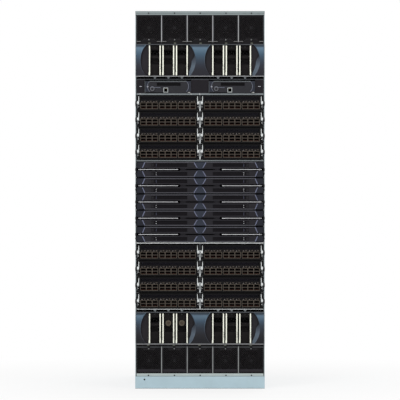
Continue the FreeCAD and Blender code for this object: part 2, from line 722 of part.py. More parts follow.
def supply_module(capped=False):
    """Local: middle of the bay; cheeks stand out, sockets lie between them."""
    half_w = SUPPLY_W / 2.0
    half_h = SUPPLY_H / 2.0
    block_y = FACE_SETBACK + SOCKET_DEEP
    solids = [box(-half_w, half_w, block_y, SUPPLY_DEPTH, -half_h, half_h),
              box(-SUPPLY_PLUG_W / 2.0, SUPPLY_PLUG_W / 2.0, SUPPLY_DEPTH,
                  SUPPLY_DEPTH + CONNECTOR_T, -SUPPLY_PLUG_H / 2.0, SUPPLY_PLUG_H / 2.0)]
    cheek_z = SUPPLY_BAY_H / 2.0 - CHEEK_END_GAP
    inner = half_w - CHEEK_INSET - CHEEK_W
    for side in (-1, 1):
        x0, x1 = sorted((side * inner, side * (inner + CHEEK_W)))
        solids.append(prism(
            [(x0, block_y, -cheek_z), (x0, CHEEK_NOSE - CHEEK_PROUD, -cheek_z),
             (x0, -CHEEK_PROUD, -cheek_z + CHEEK_NOSE), (x0, -CHEEK_PROUD, cheek_z - CHEEK_NOSE),
             (x0, CHEEK_NOSE - CHEEK_PROUD, cheek_z), (x0, block_y, cheek_z)],
            (x1 - x0, 0, 0)))
    gaps = [OUTLET_Z] if capped else [INLET_Z, OUTLET_Z]
    edges = [half_h] + [z + s * SOCKET_H / 2.0 for z in gaps for s in (1, -1)] + [-half_h]
    for high, low in zip(edges[0::2], edges[1::2]):
        solids.append(box(-inner, inner, FACE_SETBACK, block_y, low, high))
    if capped:
        solids.append(rod_y(CAP_D, 0, CAP_Z, FACE_SETBACK - CAP_PROUD, FACE_SETBACK))
    return Part.makeCompound(solids)


def supply_places():
    middle = (SUPPLY_PER_GROUP - 1) / 2.0
    return [side * SUPPLY_GROUP_X + (i - middle) * SUPPLY_PITCH
            for side in (-1, 1) for i in range(SUPPLY_PER_GROUP)]


# Management module

def arc_rib(side, half_h):
    """A bowed rib near one end of the face, its middle nearest the side of the module."""
    x = MANAGE_W / 2.0 - END_ARC_SIDE
    y = -MANAGE_PROUD - END_ARC_PROUD
    outer = [V(side * (x - END_ARC_BOW), y, -half_h), V(side * x, y, 0),
             V(side * (x - END_ARC_BOW), y, half_h)]
    inner = [p - V(side * END_ARC_W, 0, 0) for p in outer]
    edges = [Part.Arc(*outer).toShape(), Part.makeLine(outer[2], inner[2]),
             Part.Arc(inner[2], inner[1], inner[0]).toShape(), Part.makeLine(inner[0], outer[0])]
    return Part.Face(Part.Wire(edges)).extrude(V(0, END_ARC_PROUD, 0))


def manage_front():
    """The moulding in front: display window, ring knob, network jack and bowed ribs."""
    half_w = MANAGE_W / 2.0
    half_h = MANAGE_H / 2.0
    face_y = -MANAGE_PROUD
    plate = box(-half_w, half_w, face_y, MANAGE_MOULDING, -half_h, half_h - MANAGE_TOP_GAP)
    window = box(DISPLAY_X - DISPLAY_W / 2.0, DISPLAY_X + DISPLAY_W / 2.0, face_y - 1,
                 face_y + DISPLAY_DEEP,
                 DISPLAY_Z - DISPLAY_H / 2.0, DISPLAY_Z + DISPLAY_H / 2.0)
    knob_y = face_y - KNOB_PROUD
    ring = rod_y(KNOB_D, KNOB_X, KNOB_Z, knob_y, face_y)
    ring = ring.cut(rod_y(KNOB_BORE_D, KNOB_X, KNOB_Z, knob_y - 1, knob_y + KNOB_BORE_DEEP))
    jack_w = JACK_W / 2.0
    jack_h = JACK_H / 2.0
    frame = box(JACK_X - jack_w - JACK_FRAME, JACK_X + jack_w + JACK_FRAME,
                face_y - JACK_PROUD, face_y,
                JACK_Z - jack_h - JACK_FRAME, JACK_Z + jack_h + JACK_FRAME)
    jack = box(JACK_X - jack_w, JACK_X + jack_w, face_y - JACK_PROUD - 1, face_y + JACK_DEEP,
               JACK_Z - jack_h, JACK_Z + jack_h)
    ribs = [arc_rib(side, half_h - END_ARC_GAP) for side in (-1, 1)]
    return fuse([plate.cut(window), ring, frame] + ribs).cut(jack)


def manage_module():
    """Local: middle of its slot. A sheet tray behind a moulded front."""
    half_w = MANAGE_W / 2.0
    half_h = MANAGE_H / 2.0
    tray = box(-half_w, half_w, MANAGE_MOULDING, MANAGE_DEPTH, -half_h, half_h)
    return Part.makeCompound([manage_front(), tray])


# Leaf module

def port_centres():
    return [(g - (PORT_GROUPS - 1) / 2.0) * GROUP_PITCH
            + (p - (PORTS_PER_GROUP - 1) / 2.0) * PORT_PITCH
            for g in range(PORT_GROUPS) for p in range(PORTS_PER_GROUP)]


def port_walls(z0, z1):
    """The upright cage walls between the ports of one row."""
    centres = port_centres()
    return [box(a + PORT_W / 2.0, b - PORT_W / 2.0, -CAGE_PROUD, PORT_DEEP, z0, z1)
            for a, b in zip(centres, centres[1:])]


def leaf_lever(x_out, inward):
    """Ejector lever, folded shut: thin blade, thick grip, and a thin foot at the outer edge."""
    x_in = x_out + inward * LEAF_LEVER_W
    blade = prism(
        [(x_in, 0, LEAF_BLADE_LOW + LEAF_BLADE_H),
         (x_in, -LEAF_BLADE_PROUD, LEAF_BLADE_LOW + LEAF_BLADE_H - LEAF_BLADE_SLOPE),
         (x_in, -LEAF_BLADE_PROUD, LEAF_BLADE_LOW), (x_in, 0, LEAF_BLADE_LOW)],
        (-inward * LEAF_LEVER_T, 0, 0))
    grip = prism(
        [(x_out, 0, LEAF_GRIP_LOW + LEAF_GRIP_H),
         (x_out, -LEAF_GRIP_PROUD, LEAF_GRIP_LOW + LEAF_GRIP_H - LEAF_GRIP_BROW),
         (x_out, -LEAF_GRIP_PROUD, LEAF_GRIP_LOW + LEAF_GRIP_SLOPE), (x_out, 0, LEAF_GRIP_LOW)],
        (inward * LEAF_LEVER_W, 0, 0))
    foot = prism(
        [(x_out, 0, LEAF_FOOT_LOW + LEAF_FOOT_H),
         (x_out, -LEAF_BLADE_PROUD, LEAF_FOOT_LOW + LEAF_FOOT_H),
         (x_out, -LEAF_BLADE_PROUD, LEAF_FOOT_LOW + LEAF_FOOT_SLOPE), (x_out, 0, LEAF_FOOT_LOW)],
        (inward * LEAF_LEVER_T, 0, 0))
    return fuse([blade, grip, foot])


def leaf_module():
    """Local: x = 0 in the middle of the card, z = 0 at the bottom of its slot."""
    half_w = LEAF_W / 2.0
    top = LEAF_PITCH - RUN
    upper_z = LOWER_PORT_Z + PORT_H + PORT_ROW_GAP
    hood_z = upper_z + PORT_H
    edge = port_centres()[-1] + PORT_W / 2.0
    solids = [box(-half_w, half_w, PORT_DEEP, CARD_DEPTH, CARD_BASE, top)]
    hood = box(-half_w, half_w, 0, PORT_DEEP, hood_z, top)
    hood = hood.cut(box(-VENT_W / 2.0, VENT_W / 2.0, -1, VENT_DEEP, VENT_Z, VENT_Z + VENT_H))
    solids.append(hood)
    for side in (-1, 1):
        x0, x1 = sorted((side * edge, side * half_w))
        solids.append(box(x0, x1, 0, PORT_DEEP, CARD_BASE, hood_z))
    solids.append(box(-edge, edge, -CAGE_PROUD, PORT_DEEP, CARD_BASE, LOWER_PORT_Z))
    solids.append(box(-edge, edge, -CAGE_PROUD, PORT_DEEP, LOWER_PORT_Z + PORT_H, upper_z))
    solids += port_walls(LOWER_PORT_Z, LOWER_PORT_Z + PORT_H)
    solids += port_walls(upper_z, hood_z)
    solids.append(leaf_lever(-half_w + LEAF_LEVER_INSET, 1))
    solids.append(leaf_lever(half_w - LEAF_LEVER_INSET, -1))
    solids.append(box(-LEAF_PLUG_W / 2.0, LEAF_PLUG_W / 2.0, CARD_DEPTH,
                      CARD_DEPTH + CONNECTOR_T, LEAF_PITCH / 2.0 - PLUG_H / 2.0,
                      LEAF_PITCH / 2.0 + PLUG_H / 2.0))
    return Part.makeCompound(solids)


# Spine module

def pod(side, upper):
    """A raised pod: its ends widen towards the lever groove."""
    middle = SPINE_PITCH / 2.0
    outside = middle - RUN - POD_EDGE
    inside = GROOVE_H / 2.0
    s = 1 if upper else -1
    y = -SPINE_PROUD - POD_PROUD
    corners = [(POD_IN_END, outside), (POD_OUT_END, outside), (POD_OUT_MID, inside),
               (POD_IN_MID, inside)]
    return prism([(side * x, y, middle + s * z) for x, z in corners], (0, POD_PROUD, 0))


def pod_window(side, upper):
    z_high = SPINE_PITCH - WINDOW_EDGE
    z_low = z_high - WINDOW_H
    if not upper:
        z_low, z_high = SPINE_PITCH - z_high, SPINE_PITCH - z_low
    x0, x1 = sorted((side * WINDOW_IN, side * WINDOW_OUT))
    y = -SPINE_PROUD - POD_PROUD
    return box(x0, x1, y - 1, y + WINDOW_DEEP, z_low, z_high)


def spine_module():
    """Local: x = 0 in the middle, z = 0 at the bottom of its slot."""
    half_w = SPINE_W / 2.0
    middle = SPINE_PITCH / 2.0
    top = SPINE_PITCH - RUN
    body = box(-half_w, half_w, 0, CARD_DEPTH, CARD_BASE, top)
    front = box(-half_w, half_w, -SPINE_PROUD, 0, RUN, top)
    pods = [pod(side, upper) for side in (-1, 1) for upper in (True, False)]
    plug = box(-SPINE_PLUG_W / 2.0, SPINE_PLUG_W / 2.0, CARD_DEPTH, CARD_DEPTH + CONNECTOR_T,
               middle - PLUG_H / 2.0, middle + PLUG_H / 2.0)
    solid = fuse([body, front, plug] + pods)
    groove_y = -SPINE_PROUD + GROOVE_DEEP
    groove = box(-half_w - 1, half_w + 1, -SPINE_PROUD - POD_PROUD - 1, groove_y,
                 middle - GROOVE_H / 2.0, middle + GROOVE_H / 2.0)
    windows = [pod_window(side, upper) for side in (-1, 1) for upper in (True, False)]
    solid = solid.cut(Part.makeCompound([groove] + windows))
    extra = []
    for side in (-1, 1):
        x0, x1 = sorted((side * LATCH_IN, side * LATCH_OUT))
        extra.append(box(x0, x1, -SPINE_PROUD - POD_PROUD, groove_y,
                         middle - GROOVE_H / 2.0 + LATCH_GAP, middle + GROOVE_H / 2.0 - LATCH_GAP))
        extra.append(rod_z(PIN_D, side * PIVOT_X, -PIVOT_PROUD,
                           middle - GROOVE_H / 2.0, middle + GROOVE_H / 2.0))
    return fuse([solid] + extra)


def spine_lever(side):
    """Local: pivot axis at x = y = 0, arm towards the middle of the chassis."""
    s = -side
    root = LEVER_ROOT_D / 2.0
    tip = LEVER_REACH - FINGER_L
    half_t = LEVER_T / 2.0
    arm = prism(
        [(-s * EYE_BACK, -root, -half_t), (s * tip, -root, -half_t),
         (s * LEVER_REACH, -root - FINGER_OUT, -half_t),
         (s * LEVER_REACH, -root - FINGER_OUT + FINGER_T, -half_t),
         (s * tip, -root + LEVER_TIP_D, -half_t), (s * EYE_R, root, -half_t),
         (-s * EYE_BACK, root, -half_t), (-s * CLAW_L, CLAW_Y, -half_t),
         (-s * CLAW_L, CLAW_Y - CLAW_W, -half_t)],
        (0, 0, LEVER_T))
    bore = rod_z(PIN_D + 2.0 * PIN_FIT, 0, 0, -half_t - 1, half_t + 1)
    return arm.cut(bore)


def main():
    os.makedirs("parts", exist_ok=True)
    save("chassis_shell", chassis_shell())
    save("bay_frame", bay_frame())
    save("rear_panel", [rear_panel()])
    save("midplane", midplane())
    save("power_bezels", power_bezels())

    fan = fan_module()
    for i, x in enumerate(fan_places(), 1):
        save("fan_top_%d" % i, [moved(fan, x, FRONT, FAN_HIGH + FAN_BAY_H / 2.0)])
        save("fan_bottom_%d" % i, [moved(fan, x, FRONT, FAN_LOW + FAN_BAY_H / 2.0, True)])

    plain = supply_module()
    capped = supply_module(True)
    for i, x in enumerate(supply_places(), 1):
        save("supply_top_%d" % i, [moved(plain, x, FRONT, SUPPLY_HIGH + SUPPLY_BAY_H / 2.0)])
        kind = capped if i in (2, 3) else plain
        save("supply_bottom_%d" % i, [moved(kind, x, FRONT, SUPPLY_LOW + SUPPLY_BAY_H / 2.0)])

    manage = manage_module()
    for name, side in (("left", -1), ("right", 1)):
        save("management_%s" % name,
             [moved(manage, side * MANAGE_X, FRONT, MANAGE_LOW + MANAGE_BAY_H / 2.0)])

    leaf = leaf_module()
    for section, base in (("lower", LEAF_LOW), ("upper", LEAF_HIGH)):
        for name, side in (("left", -1), ("right", 1)):
            for row in range(LEAF_ROWS):
                save("leaf_%s_%s_%d" % (section, name, row + 1),
                     [moved(leaf, side * LEAF_X, FRONT, base + row * LEAF_PITCH)])

    spine = spine_module()
    levers = (("left", -1, spine_lever(-1)), ("right", 1, spine_lever(1)))
    for row in range(SPINE_ROWS):
        z = SPINE_LOW + row * SPINE_PITCH
        save("spine_%d" % (row + 1), [moved(spine, 0, FRONT, z)])
        for name, side, lever in levers:
            save("spine_lever_%d_%s" % (row + 1, name),
                 [moved(lever, side * PIVOT_X, FRONT - PIVOT_PROUD, z + SPINE_PITCH / 2.0)])


main()
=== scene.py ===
import math

import bpy
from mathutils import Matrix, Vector

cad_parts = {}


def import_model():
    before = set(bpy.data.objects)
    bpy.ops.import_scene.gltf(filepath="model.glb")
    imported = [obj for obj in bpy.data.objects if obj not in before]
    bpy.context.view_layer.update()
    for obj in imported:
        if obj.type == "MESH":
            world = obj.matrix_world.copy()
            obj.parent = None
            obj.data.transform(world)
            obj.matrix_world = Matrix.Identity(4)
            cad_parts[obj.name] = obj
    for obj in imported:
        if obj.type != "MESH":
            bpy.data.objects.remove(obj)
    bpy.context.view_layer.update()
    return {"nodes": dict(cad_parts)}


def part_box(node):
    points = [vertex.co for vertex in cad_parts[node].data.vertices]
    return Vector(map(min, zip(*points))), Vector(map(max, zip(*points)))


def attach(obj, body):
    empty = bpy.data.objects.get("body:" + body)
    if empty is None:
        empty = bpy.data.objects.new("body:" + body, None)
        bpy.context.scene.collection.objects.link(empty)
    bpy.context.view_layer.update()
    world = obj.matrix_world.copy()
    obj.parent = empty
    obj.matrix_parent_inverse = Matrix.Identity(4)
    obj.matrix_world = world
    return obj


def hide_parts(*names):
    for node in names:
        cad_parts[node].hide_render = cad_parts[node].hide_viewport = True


# The looks of a tall chassis switch. Lengths are in millimetres until a mesh is made, and every
# module is built round its own origin: the middle of its width, the chassis front plane, and
# the bottom of its slot or the middle of its bay.

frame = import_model()

MM = 0.001
RUN = 0.3                    # running clearance of the modules
CARD_LIFT = 1.3              # a card's underside above its slot
SHARP = math.radians(32)

# How far the leaf levers and the cheeks of the supplies stand out of the front plane
GRIP_PROUD = 12.5
CHEEK_PROUD = 16


# Places from the frame

def span(node):
    """Lowest and highest corner of a CAD node, in millimetres."""
    low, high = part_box(node)
    return low / MM, high / MM


def middle_x(node):
    low, high = span(node)
    return (low.x + high.x) / 2


def width(node):
    low, high = span(node)
    return high.x - low.x


shell_low, shell_high = span("chassis_shell")
rear_low, rear_high = span("rear_panel")
FRONT = span("leaf_lower_left_1")[0].y + GRIP_PROUD
BACK = rear_high.y
HALF_W = shell_high.x
WALL_OUT = rear_high.x
PLINTH_TOP = rear_low.z
CEILING = rear_high.z
TOP = shell_high.z
FAN_LOW = span("fan_bottom_1")[0].z - RUN
SHELF_A = span("fan_bottom_1")[1].z + RUN
SUPPLY_LOW = span("supply_bottom_1")[0].z - RUN
CHANNEL_A = span("supply_bottom_1")[1].z + RUN
LEAF_LOW = span("leaf_lower_left_1")[0].z - CARD_LIFT
DECK_A = span("leaf_lower_left_4")[1].z + RUN
SPINE_LOW = span("spine_1")[0].z - RUN
DECK_B = span("spine_5")[1].z + RUN
LEAF_HIGH = span("leaf_upper_left_1")[0].z - CARD_LIFT
DECK_C = span("leaf_upper_left_4")[1].z + RUN
MANAGE_LOW = span("management_left")[0].z - RUN
SHELF_C = span("management_left")[1].z + RUN
SUPPLY_HIGH = span("supply_top_1")[0].z - RUN
SHELF_D = span("supply_top_1")[1].z + RUN
FAN_HIGH = span("fan_top_1")[0].z - RUN
LEAF_PITCH = (DECK_A - LEAF_LOW) / 4
SPINE_PITCH = (DECK_B - SPINE_LOW) / 5
SHELF_T = SUPPLY_LOW - SHELF_A
FAN_BAY_H = SHELF_A - FAN_LOW
SUPPLY_BAY_H = CHANNEL_A - SUPPLY_LOW
WALL_T = 3
WALL_IN = WALL_OUT - WALL_T
SHEET_T = 1.6
BOARD_Y = span("midplane")[1].y


# Mesh building

def inset(outline, distance):
    """A closed outline moved inwards by a distance, with mitred corners."""
    area = sum(a[0] * b[1] - b[0] * a[1] for a, b in zip(outline, outline[1:] + outline[:1]))
    side = 1 if area > 0 else -1
    count = len(outline)
    result = []
    for i in range(count):
        p, q, r = outline[i - 1], outline[i], outline[(i + 1) % count]
        normals = []
        for a, b in ((p, q), (q, r)):
            length = math.hypot(b[0] - a[0], b[1] - a[1])
            normals.append((-(b[1] - a[1]) / length * side, (b[0] - a[0]) / length * side))
        (ax, az), (bx, bz) = normals
        scale = distance / (1 + ax * bx + az * bz)
        result.append((q[0] + (ax + bx) * scale, q[1] + (az + bz) * scale))
    return result


def rectangle(x0, x1, z0, z1):
    return [(x0, z0), (x1, z0), (x1, z1), (x0, z1)]


def at(outline, y):
    """An outline as a ring of points at one depth."""
    return [(u, y, w) for u, w in outline]


def circle(radius, segments, x=0, z=0, phase=0):
    return [(x + radius * math.cos(2 * math.pi * (i + phase) / segments),
             z + radius * math.sin(2 * math.pi * (i + phase) / segments))
            for i in range(segments)]


PLANES = {
    "x": lambda u, w, t: (t, u, w),
    "y": lambda u, w, t: (u, t, w),
    "z": lambda u, w, t: (u, w, t),
}


OPEN = (False, False)        # a skin without caps
FRONTAL = (0, -1, 0)


class Shape:
    """Faces in millimetres, each with the name of its material."""

    def __init__(self):
        self.points, self.faces, self.names = [], [], []

    def add(self, points, faces, material, facing="out"):
        """Adds a patch; facing is out or in from its middle, or a direction."""
        points = [Vector(p) for p in points]
        centre = sum(points, Vector()) / len(points)
        score = 0
        for f in faces:
            a, b, c = points[f[0]], points[f[1]], points[f[-1]]
            normal = (b - a).cross(c - a)
            if facing in ("out", "in"):
                score += normal.dot(sum((points[i] for i in f), Vector()) / len(f) - centre)
            else:
                score += normal.dot(Vector(facing))
        flip = score > 0 if facing == "in" else score < 0
        first = len(self.points)
        self.points.extend(points)
        for f in faces:
            self.faces.append(tuple(first + i for i in (reversed(f) if flip else f)))
            self.names.append(material)

    def face(self, points, material, facing=FRONTAL):
        self.add(points, [tuple(range(len(points)))], material, facing)

    def grid(self, rows, material, facing):
        """A sheet over rows of points."""
        size = len(rows[0])
        faces = [(r * size + c, r * size + c + 1, (r + 1) * size + c + 1, (r + 1) * size + c)
                 for r in range(len(rows) - 1) for c in range(size - 1)]
        self.add([p for row in rows for p in row], faces, material, facing)

    def loft(self, rings, material, caps=(True, True), loop=False, facing="out"):
        """Skins equal rings of points; loop joins the last ring to the first."""
        size, count = len(rings[0]), len(rings)
        faces = []
        for a in range(count if loop else count - 1):
            b = (a + 1) % count
            for i in range(size):
                j = (i + 1) % size
                faces.append((a * size + i, a * size + j, b * size + j, b * size + i))
        for here, first in zip(caps, (0, (count - 1) * size)):
            if here and not loop:
                faces.append(tuple(range(first, first + size)))
        self.add([p for ring in rings for p in ring], faces, material, facing)

    def sleeve(self, outline, profile, material, caps=OPEN, loop=False, facing="out", axis="y"):
        """Skins an outline; profile is a list of (inset, place on the axis)."""
        place = PLANES[axis]
        self.loft([[place(u, w, t) for u, w in (inset(outline, depth) if depth else outline)]
                   for depth, t in profile], material, caps, loop, facing)

    def rim(self, outline, profile, material):
        """A closed frame that follows an outline."""
        self.sleeve(outline, profile, material, loop=True)

    def prism(self, outline, t0, t1, material, bevel=(0, 0), axis="y"):
        """A solid along an axis; bevel gives the chamfers at its two ends."""
        near, far = bevel
        profile = [(near, t0)] if near > 0 else []
        profile += [(0, t0 + near), (0, t1 - far)]
        if far > 0:
            profile.append((far, t1))
        self.sleeve(outline, profile, material, (True, True), axis=axis)

    def block(self, x0, x1, y0, y1, z0, z1, material, bevel=0):
        """A box whose twelve edges are chamfered."""
        if bevel <= 0:
            self.prism(rectangle(x0, x1, z0, z1), y0, y1, material)
            return

        def corner(axis, side, *others):
            sign = list(others)
            sign.insert(axis, side)
            return tuple(sign)

        box = ((x0, y0, z0), (x1, y1, z1))
        signs = [(a, b, c) for a in (0, 1) for b in (0, 1) for c in (0, 1)]
        index = {key: i for i, key in enumerate((sign, k) for sign in signs for k in range(3))}
        points = [[box[sign[k]][k] + (0 if k == axis else (-bevel if sign[k] else bevel))
                   for k in range(3)] for sign, axis in index]
        faces = []
        for axis in range(3):
            b, c = [k for k in range(3) if k != axis]
            for side in (0, 1):
                faces.append([index[corner(axis, side, *others), axis]
                              for others in ((0, 0), (1, 0), (1, 1), (0, 1))])
            for others in ((0, 0), (0, 1), (1, 0), (1, 1)):
                near, far = corner(axis, 0, *others), corner(axis, 1, *others)
                faces.append([index[near, b], index[far, b], index[far, c], index[near, c]])
        faces += [[index[sign, axis] for axis in range(3)] for sign in signs]
        centre = Vector([(a + b) / 2 for a, b in zip(*box)])
        turned = []
        for f in faces:
            a, b, c = (Vector(points[i]) for i in f[:3])
            middle = sum((Vector(points[i]) for i in f), Vector()) / len(f)
            out = (b - a).cross(c - a).dot(middle - centre) > 0
            turned.append(f if out else f[::-1])
        self.add(points, turned, material)

    def bar(self, side, near, far, outline, material, bevel):
        """A prism across the width between two distances from the middle, on one side."""
        self.prism(outline, *sorted((side * near, side * far)), material, (bevel, bevel), "x")

    def beside(self, side, near, far, *rest):
        """A block between two distances from the middle, on one side of it."""
        self.block(*sorted((side * near, side * far)), *rest)

    def turned(self, profile, x, z, material, segments=20, caps=(True, True), facing="out"):
        """A round piece along the depth; profile is a list of (radius, y)."""
        self.loft([at(circle(radius, segments, x, z), y) for radius, y in profile], material,
                  caps, facing=facing)

    def tunnel(self, outline, y0, y1, material, floor=None, bevel=0):
        """The inside of an opening: its walls and, with a floor material, its end."""
        profile = [(-bevel, y0)] if bevel else []
        self.sleeve(outline, profile + [(0, y0 + bevel), (0, y1)], material, facing="in")
        if floor:
            self.face(at(outline, y1), floor)

    def round_hole(self, u, w, half, radius, t, material, axis="y", facing=FRONTAL):
        """A square patch of a plane, left open by a round hole, whose edge is returned."""
        ring = circle(radius, 24, u, w)
        edge = [on_square(u, w, half, p) for p in ring]
        self.loft([[PLANES[axis](*p, t) for p in line] for line in (edge, ring)], material,
                  OPEN, facing=facing)
        return ring

    def face_with_holes(self, area, holes, y, material, facing=FRONTAL):
        """A flat rectangle at one depth, left open at rectangular holes."""
        x0, x1, z0, z1 = area
        xs = sorted({x0, x1} | {v for h in holes for v in h[:2]})
        zs = sorted({z0, z1} | {v for h in holes for v in h[2:]})
        for a, b in zip(xs, xs[1:]):
            start = None
            for c, d in zip(zs, zs[1:]):
                mid = ((a + b) / 2, (c + d) / 2)
                open_here = any(h[0] < mid[0] < h[1] and h[2] < mid[1] < h[3] for h in holes)
                if not open_here and start is None:
                    start = c
                if start is not None and (open_here or d == zs[-1]):
                    top = c if open_here else d
                    self.face(at(rectangle(a, b, start, top), y), material, facing)
                    start = None

    def perforation(self, area, pitch, web, y0, y1, material, plain=None, sides=6):
        """Holes of six or four sides; cells for which plain(x, z) holds stay closed."""
        x0, x1, z0, z1 = area
        root, phase, row_share = (math.sqrt(3), 0.5, math.sqrt(3) / 2) if sides == 6 else (
            2, 0, 0.5)
        outer = pitch / root
        inner = outer - web / (2 * math.cos(math.pi / sides))
        rows = int((z1 - z0 - 2 * outer) / (pitch * row_share)) + 1
        for row in range(rows):
            count = int((x1 - x0) / pitch) - row % 2
            z = (z0 + z1) / 2 + (row - (rows - 1) / 2) * pitch * row_share
            for i in range(count):
                x = (x0 + x1) / 2 + (i - (count - 1) / 2) * pitch
                big = circle(outer, sides, x, z, phase)
                if plain and plain(x, z):
                    for y, way in ((y0, -1), (y1, 1)):
                        self.face(at(big, y), material, (0, way, 0))
                    continue
                small = circle(inner, sides, x, z, phase)
                self.loft([at(big, y0), at(small, y0), at(small, y1), at(big, y1)], material,
                          OPEN, facing=(0, 0, 0))

    def screw(self, x, z, y, radius, material, socket, height=1.2, facing=-1):
        """A domed screw head with a cross recess, standing out of a face at depth y."""
        s = facing
        self.turned([(radius, y), (radius, y + s * height * 0.35),
                     (radius * 0.82, y + s * height * 0.8), (radius * 0.5, y + s * height)],
                    x, z, material, 16)
        arm, wide = radius * 0.42, radius * 0.11
        for a, b in ((arm, wide), (wide, arm)):
            low, high = sorted((y + s * height * 0.6, y + s * (height + 0.03)))
            self.block(x - a, x + a, low, high, z - b, z + b, socket)

    def plug(self, wide, y, z0, z1, bevel, contacts, tip):
        """A connector behind a module at depth y; contacts are boxes (x0, x1, z0, z1)."""
        self.block(-wide, wide, y, y + 8, z0, z1, "connector", bevel)
        for x0, x1, low, high in contacts:
            self.block(x0, x1, y + tip, y + 8, low, high, "contact")

    def mesh(self, name):
        data = bpy.data.meshes.new(name)
        data.from_pydata([p * MM for p in self.points], [], self.faces)
        names = sorted(set(self.names))
        for n in names:
            data.materials.append(MATERIALS[n])
        data.polygons.foreach_set("material_index", [names.index(n) for n in self.names])
        data.polygons.foreach_set("use_smooth", [True] * len(data.polygons))
        data.set_sharp_from_angle(angle=SHARP)
        data.update()
        return data


def put(name, data, body, place=(0, 0, 0), turned=False, nodes=()):
    """An object for a mesh, in place on its body; turned is half a turn about the depth."""
    piece = bpy.data.objects.new(name, data)
    bpy.context.scene.collection.objects.link(piece)
    piece.location = Vector(place) * MM
    if turned:
        piece.rotation_euler = (0, math.pi, 0)
    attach(piece, body)
    if nodes:
        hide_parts(*nodes)
    return piece


# Materials

def linear(value):
    value /= 255
    return value / 12.92 if value <= 0.04045 else ((value + 0.055) / 1.055) ** 2.4


def colour(r, g, b):
    return (linear(r), linear(g), linear(b), 1)


def shades(c, spread):
    """Two colours, a little darker and a little lighter than one."""
    dark = tuple(v * (1 - spread) for v in c[:3]) + (1,)
    light = tuple(min(v * (1 + spread), 1) for v in c[:3]) + (1,)
    return dark, light


def node(tree, kind, **values):
    """A new shader node with some inputs set; an underscore stands for a space."""
    made = tree.nodes.new("ShaderNode" + kind)
    for name, value in values.items():
        made.inputs[name.replace("_", " ")].default_value = value
    return made


def wire(source, output, target, socket):
    source.id_data.links.new(source.outputs[output], target.inputs[socket])


def gradient(tree, stops):
    """A colour ramp from (position, colour) pairs."""
    ramp = node(tree, "ValToRGB")
    elements = ramp.color_ramp.elements
    for i, (position, tone) in enumerate(stops):
        stop = elements[i] if i < 2 else elements.new(position)
        stop.position, stop.color = position, tone
    return ramp


def finish(name, rgb, roughness, metallic=0, specular=0.5, mottle=0.06, mottle_scale=14,
           grain=0, grain_scale=900, stretch=(1, 1, 1), rough_spread=0.06):
    """A surface with uneven tone and gloss, and a fine grain in its relief."""
    material = bpy.data.materials.new(name)
    material.use_nodes = True
    tree = material.node_tree
    shader = tree.nodes["Principled BSDF"]
    shader.inputs["Metallic"].default_value = metallic
    shader.inputs["Specular IOR Level"].default_value = specular
    mapping = node(tree, "Mapping", Scale=stretch)
    wire(node(tree, "TexCoord"), "Object", mapping, "Vector")
    cloud = node(tree, "TexNoise", Scale=mottle_scale, Detail=6, Roughness=0.62)
    wire(mapping, "Vector", cloud, "Vector")
    dark, light = shades(colour(*rgb), mottle)
    ramp = gradient(tree, ((0.3, dark), (0.7, light)))
    wire(cloud, "Fac", ramp, "Fac")
    wire(ramp, "Color", shader, "Base Color")
    gloss = node(tree, "MapRange", To_Min=max(roughness - rough_spread, 0.02),
                 To_Max=min(roughness + rough_spread, 1))
    wire(cloud, "Fac", gloss, "Value")
    wire(gloss, "Result", shader, "Roughness")
    if grain:
        fine = node(tree, "TexNoise", Scale=grain_scale, Detail=3)
        wire(mapping, "Vector", fine, "Vector")
        relief = node(tree, "Bump", Strength=grain, Distance=0.0004)
        wire(fine, "Fac", relief, "Height")
        wire(relief, "Normal", shader, "Normal")
    return material


def painted_light_bands(name, stops):
    """A finish of the bezels whose tone changes with height: painted reflection and highlight."""
    specular, grain = (0.15, 0) if "edge" in name else (0.16, 0.08)
    material = finish(name, stops[0][1], 0.34, specular=specular, grain=grain)
    tree = material.node_tree
    where = node(tree, "TexCoord")
    split = node(tree, "SeparateXYZ")
    wire(where, "Object", split, "Vector")
    level = node(tree, "MapRange", From_Min=-BEZEL_HALF * MM, From_Max=BEZEL_HALF * MM)
    wire(split, "Z", level, "Value")
    ramp = gradient(tree, [(position, colour(*rgb)) for position, rgb in stops])
    wire(level, "Result", ramp, "Fac")
    tint = node(tree, "TexNoise", Scale=30, Detail=4)
    wire(where, "Object", tint, "Vector")
    shade = node(tree, "MapRange", To_Min=0.93, To_Max=1.07)
    wire(tint, "Fac", shade, "Value")
    mix = node(tree, "VectorMath")
    mix.operation = "SCALE"
    wire(ramp, "Color", mix, 0)
    wire(shade, "Result", mix, "Scale")
    wire(mix, "Vector", tree.nodes["Principled BSDF"], "Base Color")
    return material


BEZEL_HALF = SUPPLY_BAY_H / 2 + SHELF_T

